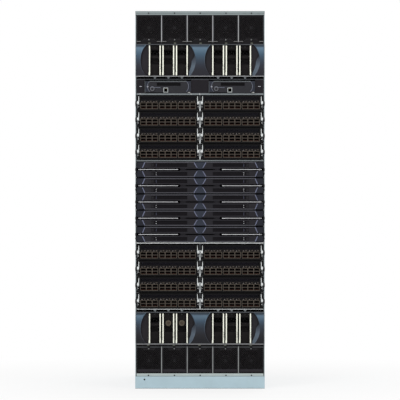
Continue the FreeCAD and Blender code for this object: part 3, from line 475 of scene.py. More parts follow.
# Each tone: red, green, blue, roughness, metallic, specular, mottle, its scale, and grain
TONES = {
    "cover_paint": (136, 147, 148, 0.46, 0, 0.3, 0.05, 14, 0.25),
    "plinth_paint": (176, 198, 207, 0.46, 0, 0.3, 0.05, 14, 0.25),
    "wall_paint": (170, 182, 189, 0.46, 0, 0.3, 0.05, 14, 0.25),
    "edge_bright": (172, 182, 185, 0.4, 0, 0.3, 0.05, 14, 0.25),
    "wall_shade": (104, 116, 120, 0.5, 0, 0.3, 0.05, 14, 0.25),
    "sill_paint": (172, 184, 183, 0.46, 0, 0.3, 0.05, 14, 0.25),
    "sill_light": (190, 201, 200, 0.46, 0, 0.3, 0.05, 14, 0.25),
    "plated": (150, 153, 154, 0.42, 0.55, 0.5, 0.12, 60, 0.2),
    "plated_dark": (92, 95, 98, 0.5, 0.3, 0.2, 0.12, 60, 0.2),
    "lip_grey": (120, 126, 129, 0.46, 0.2, 0.2, 0.06, 14, 0.2),
    # Lighter copies of lip_grey: painted highlight on the lips
    "lip_bright": (208, 212, 213, 0.42, 0.2, 0.3, 0.06, 14, 0.2),
    "lip_white": (250, 255, 255, 0.42, 0, 0.3, 0.06, 14, 0.2),
    "divider_grey": (168, 170, 173, 0.42, 0, 0.3, 0.06, 14, 0.2),
    "blank_dark": (44, 42, 46, 0.55, 0, 0.07, 0.1, 14, 0.3),
    # Painted shade: near-black for faces inside the bays, channels, wells and ducts
    "inside_dark": (15, 15, 16, 0.7, 0, 0.03, 0.15, 14, 0),
    "fan_black": (26, 25, 27, 0.5, 0, 0.07, 0.1, 14, 0.3),
    "fan_web": (41, 39, 41, 0.46, 0, 0.07, 0.1, 14, 0.3),
    "fan_case": (34, 34, 37, 0.5, 0.3, 0.2, 0.12, 14, 0.3),
    "rotor": (7, 7, 8, 0.5, 0, 0.04, 0.1, 14, 0),
    "tab_olive": (84, 86, 78, 0.5, 0, 0.2, 0.1, 14, 0.25),
    "lip_pale": (122, 121, 121, 0.45, 0, 0.2, 0.1, 14, 0),
    "cheek": (250, 251, 237, 0.5, 0, 0.25, 0.02, 14, 0.2),
    "cheek_mark": (52, 48, 45, 0.6, 0, 0.1, 0.06, 14, 0),
    "supply_black": (27, 25, 26, 0.55, 0, 0.07, 0.1, 14, 0.3),
    "socket_black": (18, 17, 19, 0.55, 0, 0.03, 0.06, 14, 0.3),
    # Painted shade: steel blades darkened for the shade in the inlet
    "pin_steel": (44, 44, 46, 0.4, 0.4, 0.2, 0.06, 14, 0),
    "cap_brown": (84, 77, 67, 0.55, 0, 0.15, 0.14, 90, 0.3),
    "cap_core": (70, 60, 51, 0.6, 0, 0.15, 0.16, 90, 0.3),
    "manage_grey": (45, 45, 49, 0.46, 0, 0.07, 0.1, 14, 0.3),
    "manage_blank": (32, 30, 34, 0.5, 0, 0.07, 0.1, 14, 0.3),
    "manage_end": (46, 49, 58, 0.44, 0, 0.07, 0.1, 14, 0.3),
    "slate_line": (108, 113, 128, 0.4, 0, 0.3, 0.06, 14, 0.1),
    "display": (13, 12, 14, 0.35, 0, 0.06, 0.1, 14, 0),
    "jack_frame": (184, 189, 189, 0.42, 0.5, 0.5, 0.1, 120, 0),
    "knob_ring": (104, 105, 110, 0.4, 0.3, 0.3, 0.06, 14, 0),
    "contact": (186, 152, 84, 0.32, 0.9, 0.5, 0.06, 14, 0),
    "pale_mark": (176, 176, 184, 0.5, 0, 0.2, 0.06, 14, 0),
    "leaf_black": (19, 18, 19, 0.56, 0, 0.07, 0.1, 14, 0.3),
    "leaf_vent": (28, 27, 33, 0.5, 0, 0.07, 0.1, 14, 0.3),
    "cage": (35, 31, 29, 0.5, 0.1, 0.1, 0.14, 120, 0.25),
    "cage_light": (90, 82, 73, 0.45, 0.1, 0.15, 0.12, 120, 0.2),
    "cage_rule": (78, 70, 63, 0.45, 0.1, 0.12, 0.12, 120, 0.2),
    "arrow": (96, 87, 80, 0.5, 0, 0.15, 0.1, 14, 0),
    "port_red": (54, 28, 21, 0.6, 0, 0.05, 0.2, 200, 0),
    "port_brown": (40, 34, 30, 0.6, 0, 0.05, 0.2, 200, 0),
    "case_steel": (120, 124, 126, 0.45, 0.6, 0.5, 0.14, 45, 0.25),
    "board_green": (28, 74, 48, 0.5, 0, 0.3, 0.12, 14, 0),
    "connector": (34, 35, 38, 0.5, 0, 0.1, 0.1, 14, 0),
    "spine_face": (38, 37, 41, 0.46, 0, 0.07, 0.1, 14, 0.3),
    "spine_end": (37, 38, 45, 0.44, 0, 0.07, 0.1, 14, 0.3),
    "spine_mid": (50, 54, 64, 0.44, 0, 0.07, 0.1, 14, 0.3),
    "spine_line": (104, 109, 132, 0.4, 0, 0.25, 0.06, 14, 0.1),
    "spine_rule": (88, 88, 95, 0.42, 0, 0.2, 0.06, 14, 0.1),
    "spine_window": (20, 18, 22, 0.4, 0, 0.06, 0.1, 14, 0),
    "spine_bump": (38, 37, 40, 0.45, 0, 0.07, 0.1, 14, 0.3),
    "led": (226, 228, 232, 0.3, 0, 0.3, 0.02, 14, 0),
    "steel": (212, 212, 216, 0.3, 0.6, 0.5, 0.08, 40, 0.3),
    "grip_steel": (220, 224, 224, 0.34, 0.4, 0.4, 0.06, 80, 0.2),
    "stud_black": (22, 24, 28, 0.4, 0, 0.2, 0.1, 14, 0),
    "screw_steel": (196, 196, 195, 0.34, 0.8, 0.5, 0.08, 14, 0),
    "screw_dark": (40, 42, 44, 0.42, 0.4, 0.5, 0.1, 14, 0),
    # Painted shade: near-black for the far ends of holes and recesses, and for gaps
    "hole": (7, 7, 8, 0.9, 0, 0, 0.06, 14, 0),
    "rear_paint": (150, 158, 162, 0.48, 0, 0.3, 0.05, 14, 0.25),
    # Painted highlight: the light band along a bezel's lower edge
    "bezel_rail": (154, 155, 158, 0.4, 0, 0.3, 0.06, 14, 0.1),
    "bezel_top": (76, 79, 84, 0.4, 0, 0.2, 0.06, 14, 0.1),
}
MORE = {"cheek": dict(grain_scale=600),
        "steel": dict(grain_scale=260, stretch=(0.06, 1, 1), rough_spread=0.05)}
# Stops of the bezels, from their lower to their upper edge: painted reflection, dark below and
# light near the top, darker on the lower bezel; a painted highlight lower down on the right lens
# edges
PAINTED_LIGHT_BANDS = {
    "bezel": ((0, (34, 34, 41)), (0.20, (38, 38, 45)), (0.36, (44, 48, 58)),
              (0.51, (52, 63, 76)), (0.60, (58, 74, 90)), (0.70, (66, 88, 106)),
              (0.86, (90, 113, 131)), (0.90, (88, 108, 126)), (0.93, (52, 63, 74))),
    "bezel_low": ((0, (26, 27, 31)), (0.15, (28, 28, 33)), (0.3, (36, 36, 41)),
                  (0.5, (44, 50, 60)), (0.6, (51, 61, 73)), (0.72, (62, 79, 96)),
                  (0.86, (86, 107, 124)), (0.90, (84, 102, 119)), (0.93, (50, 60, 70))),
    "bezel_edge_left": ((0, (44, 44, 52)), (0.35, (58, 64, 74)), (0.7, (86, 106, 124)),
                        (1, (98, 122, 140))),
    "bezel_edge_right": ((0, (84, 94, 106)), (0.32, (88, 99, 112)), (0.48, (66, 73, 84)),
                         (0.6, (50, 56, 65)), (0.8, (62, 76, 90)), (1, (66, 82, 96))),
}
MATERIALS = {name: finish(name, tone[:3], *tone[3:], **MORE.get(name, {}))
             for name, tone in TONES.items()}
MATERIALS.update((name, painted_light_bands(name, stops)) for name, stops in PAINTED_LIGHT_BANDS.items())


# Cabinet: cover, side walls, plinth, studs

COVER_SCREW_X = (-175.7, -87, 0.7, 88.7, 175.7)
COVER_SEAM_Z = 7.6           # seam below the top
SHELL_BEVEL = 0.8
BRACKET_Y = (40, 80)
BRACKET_Z = (193, 1093)
BRACKET_R = 2.75
BRACKET_PATCH = 9          # half a side of the patch round a bracket hole
HEM_STEP = 1.8               # the folded front hem starts this far outside the wall's inside
HEM_DEPTH = 9
WALL_RIVET = ((2.6, 0), (2.2, 0.35), (1.2, 0.5))
COVER_RIVET = ((2.6, -0.3), (2.3, 0), (1.4, 0))


def side_wall(shape, side):
    """A wall whose front edge is hemmed, with the rack bracket holes."""
    x0, x1 = sorted((side * WALL_IN, side * WALL_OUT))
    holes = [(FRONT + y, z) for y in BRACKET_Y for z in BRACKET_Z]
    patch = BRACKET_PATCH
    ys = sorted({FRONT, BACK - SHEET_T} | {y + s * patch for y, _ in holes for s in (-1, 1)})
    zs = sorted({PLINTH_TOP, CEILING} | {z + s * patch for _, z in holes for s in (-1, 1)})
    for x, way in ((x0, -1), (x1, 1)):
        for a, b in zip(ys, ys[1:]):
            for c, d in zip(zs, zs[1:]):
                here = [(y, z) for y, z in holes
                        if a < y < b and c < z < d and b - a < 3 * patch]
                if here:
                    shape.round_hole(*here[0], patch, BRACKET_R, x, "wall_paint", "x",
                                     (way, 0, 0))
                else:
                    shape.face([(x, a, c), (x, b, c), (x, b, d), (x, a, d)], "wall_paint",
                               (way, 0, 0))
    for y, z in holes:
        shape.sleeve(circle(BRACKET_R, 24, y, z), [(0, x0), (0, x1)], "wall_paint",
                     facing="in", axis="x")
    shape.beside(side, WALL_IN + HEM_STEP, HALF_W, FRONT - 0.4, FRONT + HEM_DEPTH, PLINTH_TOP,
                 CEILING, "edge_bright", 0.6)
    # A near-black strip in the gap behind the hem: painted shade
    shape.beside(side, WALL_IN, WALL_IN + HEM_STEP, FRONT + 0.6, FRONT + 2, PLINTH_TOP,
                 CEILING, "hole")


def on_square(y, z, half, point):
    """The point of a square's edge on the ray from its middle through a point."""
    dy, dz = point[0] - y, point[1] - z
    scale = half / max(abs(dy), abs(dz))
    return (y + dy * scale, z + dz * scale)


def rivet(shape, side, x, y, z, profile, material):
    """A flush rivet on a side; profile is a list of (radius, height)."""
    shape.loft([[(side * (x + h), u, w) for u, w in circle(r, 12, y, z)] for r, h in profile],
               material, (False, True))


def wall_rivets(shape, side):
    """Rows of rivets where the shelves and decks are fixed to a wall."""
    for z in (FAN_LOW - 5, SHELF_A + 1, CHANNEL_A + 5, LEAF_LOW - 1.5, DECK_A + 3,
              DECK_B + 3, DECK_C + 3, SHELF_C + 5, SHELF_D + 1, CEILING - 6):
        for i in range(7):
            y = FRONT + 18 + i * (BACK - FRONT - 36) / 6
            rivet(shape, side, WALL_OUT, y, z, WALL_RIVET, "wall_paint")


def front_screws(shape, places, y, profile, material, socket=None):
    """Flat screws in a front face; socket gives the radius and depths of a recess."""
    for x, z in places:
        shape.turned([(r, y - d) for r, d in profile], x, z, material, 16)
        if socket:
            radius, top, end = socket
            shape.turned([(radius, y - top), (radius, y - end)], x, z, "hole", 6)


def top_cover(shape):
    """A folded lid: seam and screws across its front, rivets along each side."""
    y0, y1 = FRONT - SHEET_T, BACK
    seam = TOP - COVER_SEAM_Z
    shape.block(-HALF_W, HALF_W, y0, y1, seam + 0.4, TOP, "cover_paint", SHELL_BEVEL)
    shape.block(-HALF_W + 0.3, HALF_W - 0.3, y0 + 0.3, y1 - 0.3, CEILING + 1.2, seam - 0.4,
                "cover_paint", SHELL_BEVEL)
    shape.block(-HALF_W + 0.8, HALF_W - 0.8, y0 + 0.9, y1 - 0.8, CEILING, seam + 0.9,
                "screw_dark")
    front_screws(shape, [(x, seam) for x in COVER_SCREW_X], y0,
                 ((2.7, 0.15), (2.5, 0.45), (1.7, 0.5)), "screw_dark", (1.1, 0.53, 0.4))
    for i in range(6):
        for side in (-1, 1):
            y = FRONT + 30 + i * (BACK - FRONT - 60) / 5
            rivet(shape, side, HALF_W, y, CEILING + 7, COVER_RIVET, "screw_dark")


PLINTH_HOLE = (-189.4, 30.7)
PLINTH_HOLE_R = 3
PLINTH_PATCH = 8
PLINTH_SCREWS = ((-207.5, 12.3), (-70, 12.3), (68.2, 12.3), (206.5, 12.3), (166.5, 21.2))
SILL_HOLE_Z = 45


def plinth(shape):
    y0 = FRONT - SHEET_T
    x, z = PLINTH_HOLE
    half = PLINTH_PATCH
    area = (-HALF_W + 0.6, HALF_W - 0.6, 0.6, PLINTH_TOP - 0.6)
    shape.block(-HALF_W, HALF_W, y0 + 1.2, BACK, 0, PLINTH_TOP, "plinth_paint", SHELL_BEVEL)
    shape.face_with_holes(area, [(x - half, x + half, z - half, z + half)], y0, "plinth_paint")
    ring = shape.round_hole(x, z, half, PLINTH_HOLE_R, y0, "plinth_paint")
    shape.tunnel(ring, y0, y0 + 1.15, "plinth_paint", "hole")
    shape.sleeve(rectangle(*area), [(0, y0), (-0.6, y0 + 1.25)], "plinth_paint")
    shape.block(-HALF_W + 0.4, HALF_W - 0.4, y0, y0 + 1, 0, 1.5, "wall_shade", 0.3)
    front_screws(shape, PLINTH_SCREWS, y0, ((2.4, 0), (2.2, 0.3), (1.2, 0.35)),
                 "plinth_paint")


STUD_PROUD = 12
STUD = ((5, 0), (5, -7), (4.6, -7.8), (5, -8.6), (5, -11.2), (4.1, -12))
SIDE_STUBS = ((13.6, 3.2, 6, "stud_black"), (26.8, 2.4, 3, "plated"))


def side_studs(shape, side):
    """Black stubs on the wall's front edge: one beside each leaf card, a knob per lever."""
    x0, x1 = sorted((side * WALL_IN, side * HALF_W))
    x, wide = (x0 + x1) / 2, (x1 - x0) / 2

    def stub(z, profile, segments, material):
        """A round stub whose sides are cut off flat."""
        shape.loft([[(x + max(-wide, min(wide, u)), FRONT + y, z + w)
                     for u, w in circle(r, segments)] for r, y in profile], material)

    for base in (LEAF_LOW, LEAF_HIGH):
        for row in range(4):
            z = base + row * LEAF_PITCH
            outline = [(FRONT, z + 18.7), (FRONT - STUD_PROUD, z + 21.7),
                       (FRONT - STUD_PROUD, z + 29.2), (FRONT, z + 34.2)]
            shape.prism(outline, x0, x1, "stud_black", (0.6, 0.6), axis="x")
    for row in range(5):
        z = SPINE_LOW + (row + 0.5) * SPINE_PITCH
        stub(z, STUD, 20, "stud_black")
        for drop, radius, reach, name in SIDE_STUBS:
            stub(z - drop, ((radius, 0), (radius, -reach), (radius - 0.6, -reach - 0.5)), 16,
                 name)


def cabinet():
    shape = Shape()
    for side in (-1, 1):
        side_wall(shape, side)
        wall_rivets(shape, side)
        side_studs(shape, side)
    top_cover(shape)
    plinth(shape)
    put("cabinet", shape.mesh("cabinet"), "chassis",
        nodes=("chassis_shell",))


# Card cage: shelves, decks, dividers, partitions, runners, blanking plates

DECK_H = SPINE_LOW - DECK_A
CHANNEL_H = LEAF_LOW - SHELF_T - (CHANNEL_A + SHELF_T)
SUPPLY_BOARD_Y = span("supply_top_1")[1].y + 0.5 + 8
FAN_BOARD_Y = span("fan_top_1")[1].y + 0.5 + 8
DIVIDER_T = 3.6
DIVIDER_LIP = 2.7
DIVIDER_FOOT = 7.8           # the bright lip of a divider stops this far from its shelf
THIN_T = 0.8
SUPPLY_X = [middle_x("supply_top_%d" % i) for i in range(1, 7)]
SUPPLY_PITCH = SUPPLY_X[1] - SUPPLY_X[0]
FAN_X = [middle_x("fan_top_%d" % i) for i in range(1, 6)]
MANAGE_X = middle_x("management_right")
MANAGE_W = width("management_right")
LEDGE_W = 8
POST_T = 4


def strip(shape, proud, depth, z0, z1, material, bevel=0):
    """A strip across the whole front, from before the front plane to behind it."""
    shape.block(-WALL_IN, WALL_IN, FRONT - proud, FRONT + depth, z0, z1, material, bevel)


def shelf(shape, z0, z1, material):
    """A rounded fold in front and the sheet behind it."""
    strip(shape, 0, SHEET_T, z0, z1, material, 0.5)
    shape.block(-WALL_IN, WALL_IN, FRONT + SHEET_T, BACK - SHEET_T, max(z1 - SHELF_T, z0), z1,
                "plated")


def shelves(shape):
    shelf(shape, PLINTH_TOP, FAN_LOW, "sill_paint")
    strip(shape, 0.3, 0.5, FAN_LOW - 1, FAN_LOW, "hole")
    strip(shape, 0.7, 0.5, FAN_LOW - 4.4, FAN_LOW - 1, "sill_light", 0.4)
    strip(shape, 0.3, 0.5, PLINTH_TOP - 0.4, PLINTH_TOP + 1.2, "wall_shade", 0.3)
    # Shelf lips are one grey metal; the bright one is a painted highlight
    for z, name in ((SHELF_A, "lip_grey"), (CHANNEL_A, "lip_grey"),
                    (SUPPLY_HIGH - SHELF_T, "lip_grey"), (SHELF_D, "lip_grey"),
                    (LEAF_LOW - SHELF_T, "lip_bright"), (SHELF_C, "bezel_top")):
        shelf(shape, z, z + SHELF_T, name)
    # The white deck lip is a painted highlight, brighter to make up for the spines' shadow above
    # it
    for z, name, low, high in ((DECK_A, "lip_white", 2.6, DECK_H), (DECK_B, "lip_grey", 0.4, 4.4),
                               (DECK_C, "lip_grey", 0.3, DECK_H - 0.1)):
        # The front of each deck is near-black, painted shade, with a lip over part of it
        strip(shape, 0, SHEET_T, z, z + DECK_H, "inside_dark")
        strip(shape, 0.6, 0.6, z + low, z + high, name, 0.3)
        shape.block(-WALL_IN, WALL_IN, FRONT + SHEET_T, BOARD_Y, z + DECK_H - SHEET_T,
                    z + DECK_H, "plated")


def dividers(shape):
    for z, name, low, high in ((FAN_LOW, "plated", 0, DIVIDER_FOOT),
                               (FAN_HIGH, "divider_grey", DIVIDER_FOOT, 0)):
        for a, b in zip(FAN_X, FAN_X[1:]):
            x = (a + b) / 2
            for wide, y0, y1, z0, z1, paint in (
                    (DIVIDER_LIP, 0, 3, z + low, z + FAN_BAY_H - high, name),
                    (DIVIDER_T, 1.5, FAN_BOARD_Y - FRONT, z, z + FAN_BAY_H, "blank_dark")):
                shape.block(x - wide / 2, x + wide / 2, FRONT + y0, FRONT + y1, z0, z1, paint, 0.4)


def partitions(shape):
    for z in (SUPPLY_LOW, SUPPLY_HIGH):
        z1 = z + SUPPLY_BAY_H
        groups = (SUPPLY_X[:3], SUPPLY_X[3:])
        edges = [(g[0] - SUPPLY_PITCH / 2, g[-1] + SUPPLY_PITCH / 2) for g in groups]
        spans = [(-WALL_IN, edges[0][0]), (edges[0][1], edges[1][0]), (edges[1][1], WALL_IN)]
        for a, b in spans:
            shape.block(a, b, FRONT, FRONT + SHEET_T, z, z1, "blank_dark")
        # Thin near-black partitions between the supplies: painted shade
        for a, b in edges:
            for i in range(4):
                x = a + (b - a) * i / 3
                shape.block(x - THIN_T / 2, x + THIN_T / 2, FRONT + SHEET_T, SUPPLY_BOARD_Y,
                            z, z1, "inside_dark")


def latch_channels(shape):
    """Channels over and under the supplies, with a near-black back as painted shade, and a folded
    spring tab for each.
    """
    for z in (CHANNEL_A + SHELF_T, SHELF_C + SHELF_T):
        top = z + CHANNEL_H
        strip(shape, -22, 23, z, top, "inside_dark")
        for x in SUPPLY_X:
            for half, y0, y1, z0, z1, name, bevel in (
                    (3, 1, 2, z + 1.2, top, "lip_grey", 0.35),
                    (4.4, 0.2, 1, top - 3.4, top - 0.4, "lip_grey", 0.35),
                    (3, 2, 20, top - 1.2, top, "plated_dark", 0)):
                shape.block(x - half, x + half, FRONT + y0, FRONT + y1, z0, z1, name, bevel)


def ledges(shape, z, places):
    for a, b in places:
        shape.block(a, b, FRONT + 5, BOARD_Y - 4, z, z + 1, "plated")


def posts_and_runners(shape):
    half = POST_T / 2
    left, right = (-WALL_IN, -WALL_IN + LEDGE_W), (WALL_IN - LEDGE_W, WALL_IN)
    inner = ((-half - LEDGE_W, -half), (half, half + LEDGE_W))
    for base in (LEAF_LOW, LEAF_HIGH):
        shape.block(-half, half, FRONT + 2, BOARD_Y - 12, base, base + 4 * LEAF_PITCH,
                    "plated_dark")
        for row in range(4):
            z = base + row * LEAF_PITCH
            shape.block(-1.1, 1.1, FRONT, FRONT + 2, z + 35, z + LEAF_PITCH,
                        "blank_dark", 0.3)
            edge = ((1.7, 0), (1.7, 4), (2, 7), (2, 16), (1.6, 20), (1.6, 35))
            outline = [(-1.7, z)] + [(x, z + dz) for x, dz in edge]
            outline += [(-x, z + dz) for x, dz in edge[:0:-1]]
            shape.prism(outline, FRONT - 1, FRONT + 2, "grip_steel", (0.4, 0))
            ledges(shape, z, (left, *inner, right))
    for row in range(5):
        ledges(shape, SPINE_LOW + row * SPINE_PITCH, (left, right))


def manage_blanks(shape):
    z0, z1 = MANAGE_LOW, SHELF_C
    inner = MANAGE_X - MANAGE_W / 2 - RUN
    outer = MANAGE_X + MANAGE_W / 2 + RUN
    for a, b in ((-WALL_IN, -outer), (-inner, inner), (outer, WALL_IN)):
        shape.block(a, b, FRONT, FRONT + SHEET_T, z0, z1, "blank_dark", 0.4)
        shape.prism(rectangle(a + 3, b - 3, z0 + 3, z1 - 3), FRONT - 1, FRONT,
                    "manage_blank", (0.6, 0))
    for x in (-outer - SHEET_T, -inner, inner - SHEET_T, outer):
        shape.block(x, x + SHEET_T, FRONT + SHEET_T, BOARD_Y - 4, z0, z1, "plated_dark")
    for side in (-1, 1):
        x = side * (WALL_IN + outer) / 2
        shape.block(x - 4.2, x + 4.2, FRONT - 1.5, FRONT - 1, z0 + 22.5, z0 + 24.5,
                    "pale_mark", 0.2)
    for x in (-205, 78 - MANAGE_X, 0):
        shape.screw(x, DECK_C + 3.6, FRONT - 0.6, 2, "screw_steel", "hole", 0.9)


def card_cage():
    shape = Shape()
    shelves(shape)
    front_screws(shape, [(x, SILL_HOLE_Z) for x in COVER_SCREW_X], FRONT,
                 ((2.6, 0.02), (2.3, 0.3), (1.5, 0.35)), "screw_dark", (1, 0.38, 0.3))
    for part in (dividers, partitions, latch_channels, posts_and_runners, manage_blanks):
        part(shape)
    put("card_cage", shape.mesh("card_cage"), "chassis",
        nodes=("bay_frame",))


# Moulded bezels

BEZEL_T = 12.5
BEZEL_CROWN = 3
BEZEL_W = span("power_bezels")[1].x * 2
LENS_X = 109.6
LENS_HALF_END = 74.5
LENS_HALF_MID = 93.9
LENS_STEPS = 28
EDGE_ROUND = 1.2
CRESCENT_W = 12
CRESCENT_RISE = (-18, 4)  # depth below the middle over which the crescent widens
SUPPLY_EDGE = {right: middle_x("supply_top_%d" % i) + SUPPLY_PITCH / 2
               for right, i in ((False, 3), (True, 6))}


def lens_edge(z):
    """Half width of a lens at a height, on the circle through its ends and its middle."""
    rise = LENS_HALF_MID - LENS_HALF_END
    half = SUPPLY_BAY_H / 2
    radius = (half * half + rise * rise) / (2 * rise)
    return LENS_HALF_MID - radius + math.sqrt(radius * radius - z * z)


def bezel_front(z):
    share = z / BEZEL_HALF
    return -(BEZEL_T - BEZEL_CROWN * share * share)


def ease(value, low, high):
    """Nought below low, one above high and smooth between them."""
    share = min(max((value - low) / (high - low), 0), 1)
    return share * share * (3 - 2 * share)


def lens_wall(shape, middle, side, levels):
    """The inside of one lens edge. The right one turns into a sloped crescent lower down,
    which stops short of the supplies."""
    rows = []
    for z in levels:
        edge = middle + side * lens_edge(z)
        front = bezel_front(z)
        wide = 0.6
        if side > 0:
            wide = min(CRESCENT_W * ease(-z, *CRESCENT_RISE) + 0.6,
                       edge - SUPPLY_EDGE[middle > 0] - 0.4)
        rows.append([(edge + side * EDGE_ROUND, front, z), (edge, front + 0.5, z),
                     (edge - side * wide * 0.45, front + 1 + wide * 0.28, z),
                     (edge - side * wide, front + 1.6 + wide * 0.55, z),
                     (edge - side * wide, 0, z)])
    # The lens edges carry painted reflection, the right ones a painted highlight on the crescent
    # lower down
    paint = "bezel_edge_right" if side > 0 else "bezel_edge_left"
    for c in range(4):
        shape.grid([row[c:c + 2] for row in rows], paint if c < 3 else "blank_dark",
                   (-side, 0, 0))


def bezel_mesh(paint):
    shape = Shape()
    hole = SUPPLY_BAY_H / 2
    half = BEZEL_W / 2
    levels = [hole * (2 * i / LENS_STEPS - 1) for i in range(LENS_STEPS + 1)]

    def edges(z):
        return [-half] + [middle + side * (lens_edge(z) + EDGE_ROUND)
                          for middle in (-LENS_X, LENS_X) for side in (-1, 1)] + [half]

    for k in (0, 2, 4):
        rows = [[(a + (b - a) * i / 4, bezel_front(z), z) for i in range(5)]
                for z in levels for a, b in [edges(z)[k:k + 2]]]
        shape.grid(rows, paint, FRONTAL)
    for middle in (-LENS_X, LENS_X):
        for side in (-1, 1):
            lens_wall(shape, middle, side, levels)
    for s in (-1, 1):
        rings = [[(-half, 0, z), (-half, bezel_front(z), z), (half, bezel_front(z), z),
                  (half, 0, z)] for z in sorted((s * hole, s * BEZEL_HALF))]
        # The lower rail is a light band: painted highlight on the bezel's lower edge
        shape.loft(rings, "bezel_top" if s > 0 else "bezel_rail")
    for s in (-1, 1):
        shape.grid([[(s * half, bezel_front(z), z), (s * half, 0, z)] for z in levels], paint,
                   (s, 0, 0))
    return shape.mesh(paint)


def bezels():
    # Both bezels carry painted reflection, the lower one a darker copy
    for name, paint, z in (("upper", "bezel", SUPPLY_HIGH), ("lower", "bezel_low", SUPPLY_LOW)):
        nodes = ("power_bezels",) if name == "upper" else ()
        put("bezel_" + name, bezel_mesh(paint), "chassis", (0, FRONT, z + SUPPLY_BAY_H / 2),
            nodes=nodes)


# Fan modules

FAN_W = width("fan_top_1")
FAN_H = span("fan_top_1")[1].z - span("fan_top_1")[0].z
FAN_DEPTH = 150
FAN_PITCH_HOLES = 7.6
FAN_WEB = 0.9463
FAN_BORDER = 5.1
ARCH_HALF = 31
ARCH_H = 17
DUCT_R = 37.5
HUB_R = 17
BLADES = 7
FAN_LIP_Z = 9.2              # little lips above the lower edge
FAN_WALL = 1.6
FAN_TAB_X = 1.9
FAN_OPEN_Y = 13            # the duct starts here


def in_arch(x, z):
    return math.hypot(x / (ARCH_HALF + 2.6), (z + FAN_H / 2) / (ARCH_H + 3)) < 1


def fan_front(shape, full_lip):
    half_w, half_h = FAN_W / 2, FAN_H / 2
    shape.rim(rectangle(-half_w, half_w, -half_h, half_h),
              [(0, 3), (0, 0.5), (0.5, 0), (FAN_BORDER - 0.4, 0),
               (FAN_BORDER, 0.4), (FAN_BORDER, 3)], "fan_black")
    shape.perforation((-half_w + 0.6, half_w - 0.6, -half_h + 0.4, half_h - 0.4),
                      FAN_PITCH_HOLES, FAN_WEB, 0.35, 1.55, "fan_web", in_arch, 4)
    arch = [(ARCH_HALF * math.cos(math.pi * i / 20), -half_h + 0.6
             + ARCH_H * math.sin(math.pi * i / 20) * 0.98) for i in range(21)]
    shape.prism(arch, -1.2, 1, "fan_black", (0.5, 0))
    shape.screw(0.6, -half_h + 15, -1.2, 1.9, "plated", "hole", 1)
    z = -half_h + FAN_LIP_Z
    for side in (-1, 1):
        shape.beside(side, 4 if full_lip else half_w - 14, half_w - 0.1, -1.6, 0.4, z - 1,
                     z + 1, "plated_dark" if full_lip else "lip_pale", 0.4)
    if full_lip:
        shape.block(-half_w + 3, half_w - 3, -0.3, 0.6, half_h - 13.5, half_h - 4.4,
                    "blank_dark", 0.3)
    for x0, x1, y0, y1, high, bevel in ((-4, 4, -7, -5.6, 5, 0.5),
                                        (-4, 4, -5.6, 0.6, 1.4, 0.4),
                                        (-4, -3.2, -5.8, 0.4, 4, 0.2),
                                        (3.2, 4, -5.8, 0.4, 4, 0.2)):
        shape.block(FAN_TAB_X + x0, FAN_TAB_X + x1, y0, y1, -half_h, -half_h + high,
                    "tab_olive", bevel)


def fan_rotor(shape, z):
    """Hub with a domed front, swept blades and the stator arms behind them."""
    shape.turned([(HUB_R, 42), (HUB_R, 16), (HUB_R - 1.5, 14.2), (HUB_R * 0.5, 13.6)],
                 0, z, "rotor", 28, (False, True))
    shape.turned([(5.2, 13.5), (5.2, 13), (4.4, 12.8)], 0, z, "fan_case", 18,
                 (False, True))
    for k in range(BLADES):
        start = 2 * math.pi * k / BLADES
        front, rear = [], []
        for i in range(6):
            r = HUB_R - 0.5 + (DUCT_R - 1.6 - HUB_R) * i / 5
            sweep = start + 0.32 * (i / 5) ** 1.5
            chord = 0.62 + 0.12 * i / 5
            for row, angle, y in ((front, sweep, 15), (rear, sweep + chord, 36)):
                row.append((r * math.cos(angle), y, z + r * math.sin(angle)))
        middle = [((a[0] + b[0]) / 2, (a[1] + b[1]) / 2 - 3, (a[2] + b[2]) / 2)
                  for a, b in zip(front, rear)]
        for t, way in ((0, -1), (1.2, 1)):
            shape.grid([[(x, y + t, w) for x, y, w in row] for row in (front, middle, rear)],
                       "rotor", (0, way, 0))
    for k in range(3):
        angle = math.pi / 2 + 2 * math.pi * k / 3
        u, w = math.cos(angle), math.sin(angle)
        outline = [(u * r - w * s, z + w * r + u * s)
                   for r, s in ((HUB_R * 0.6, 2.5), (DUCT_R + 0.5, 2.5),
                                (DUCT_R + 0.5, -2.5), (HUB_R * 0.6, -2.5))]
        shape.prism(outline, 38, 42, "rotor")


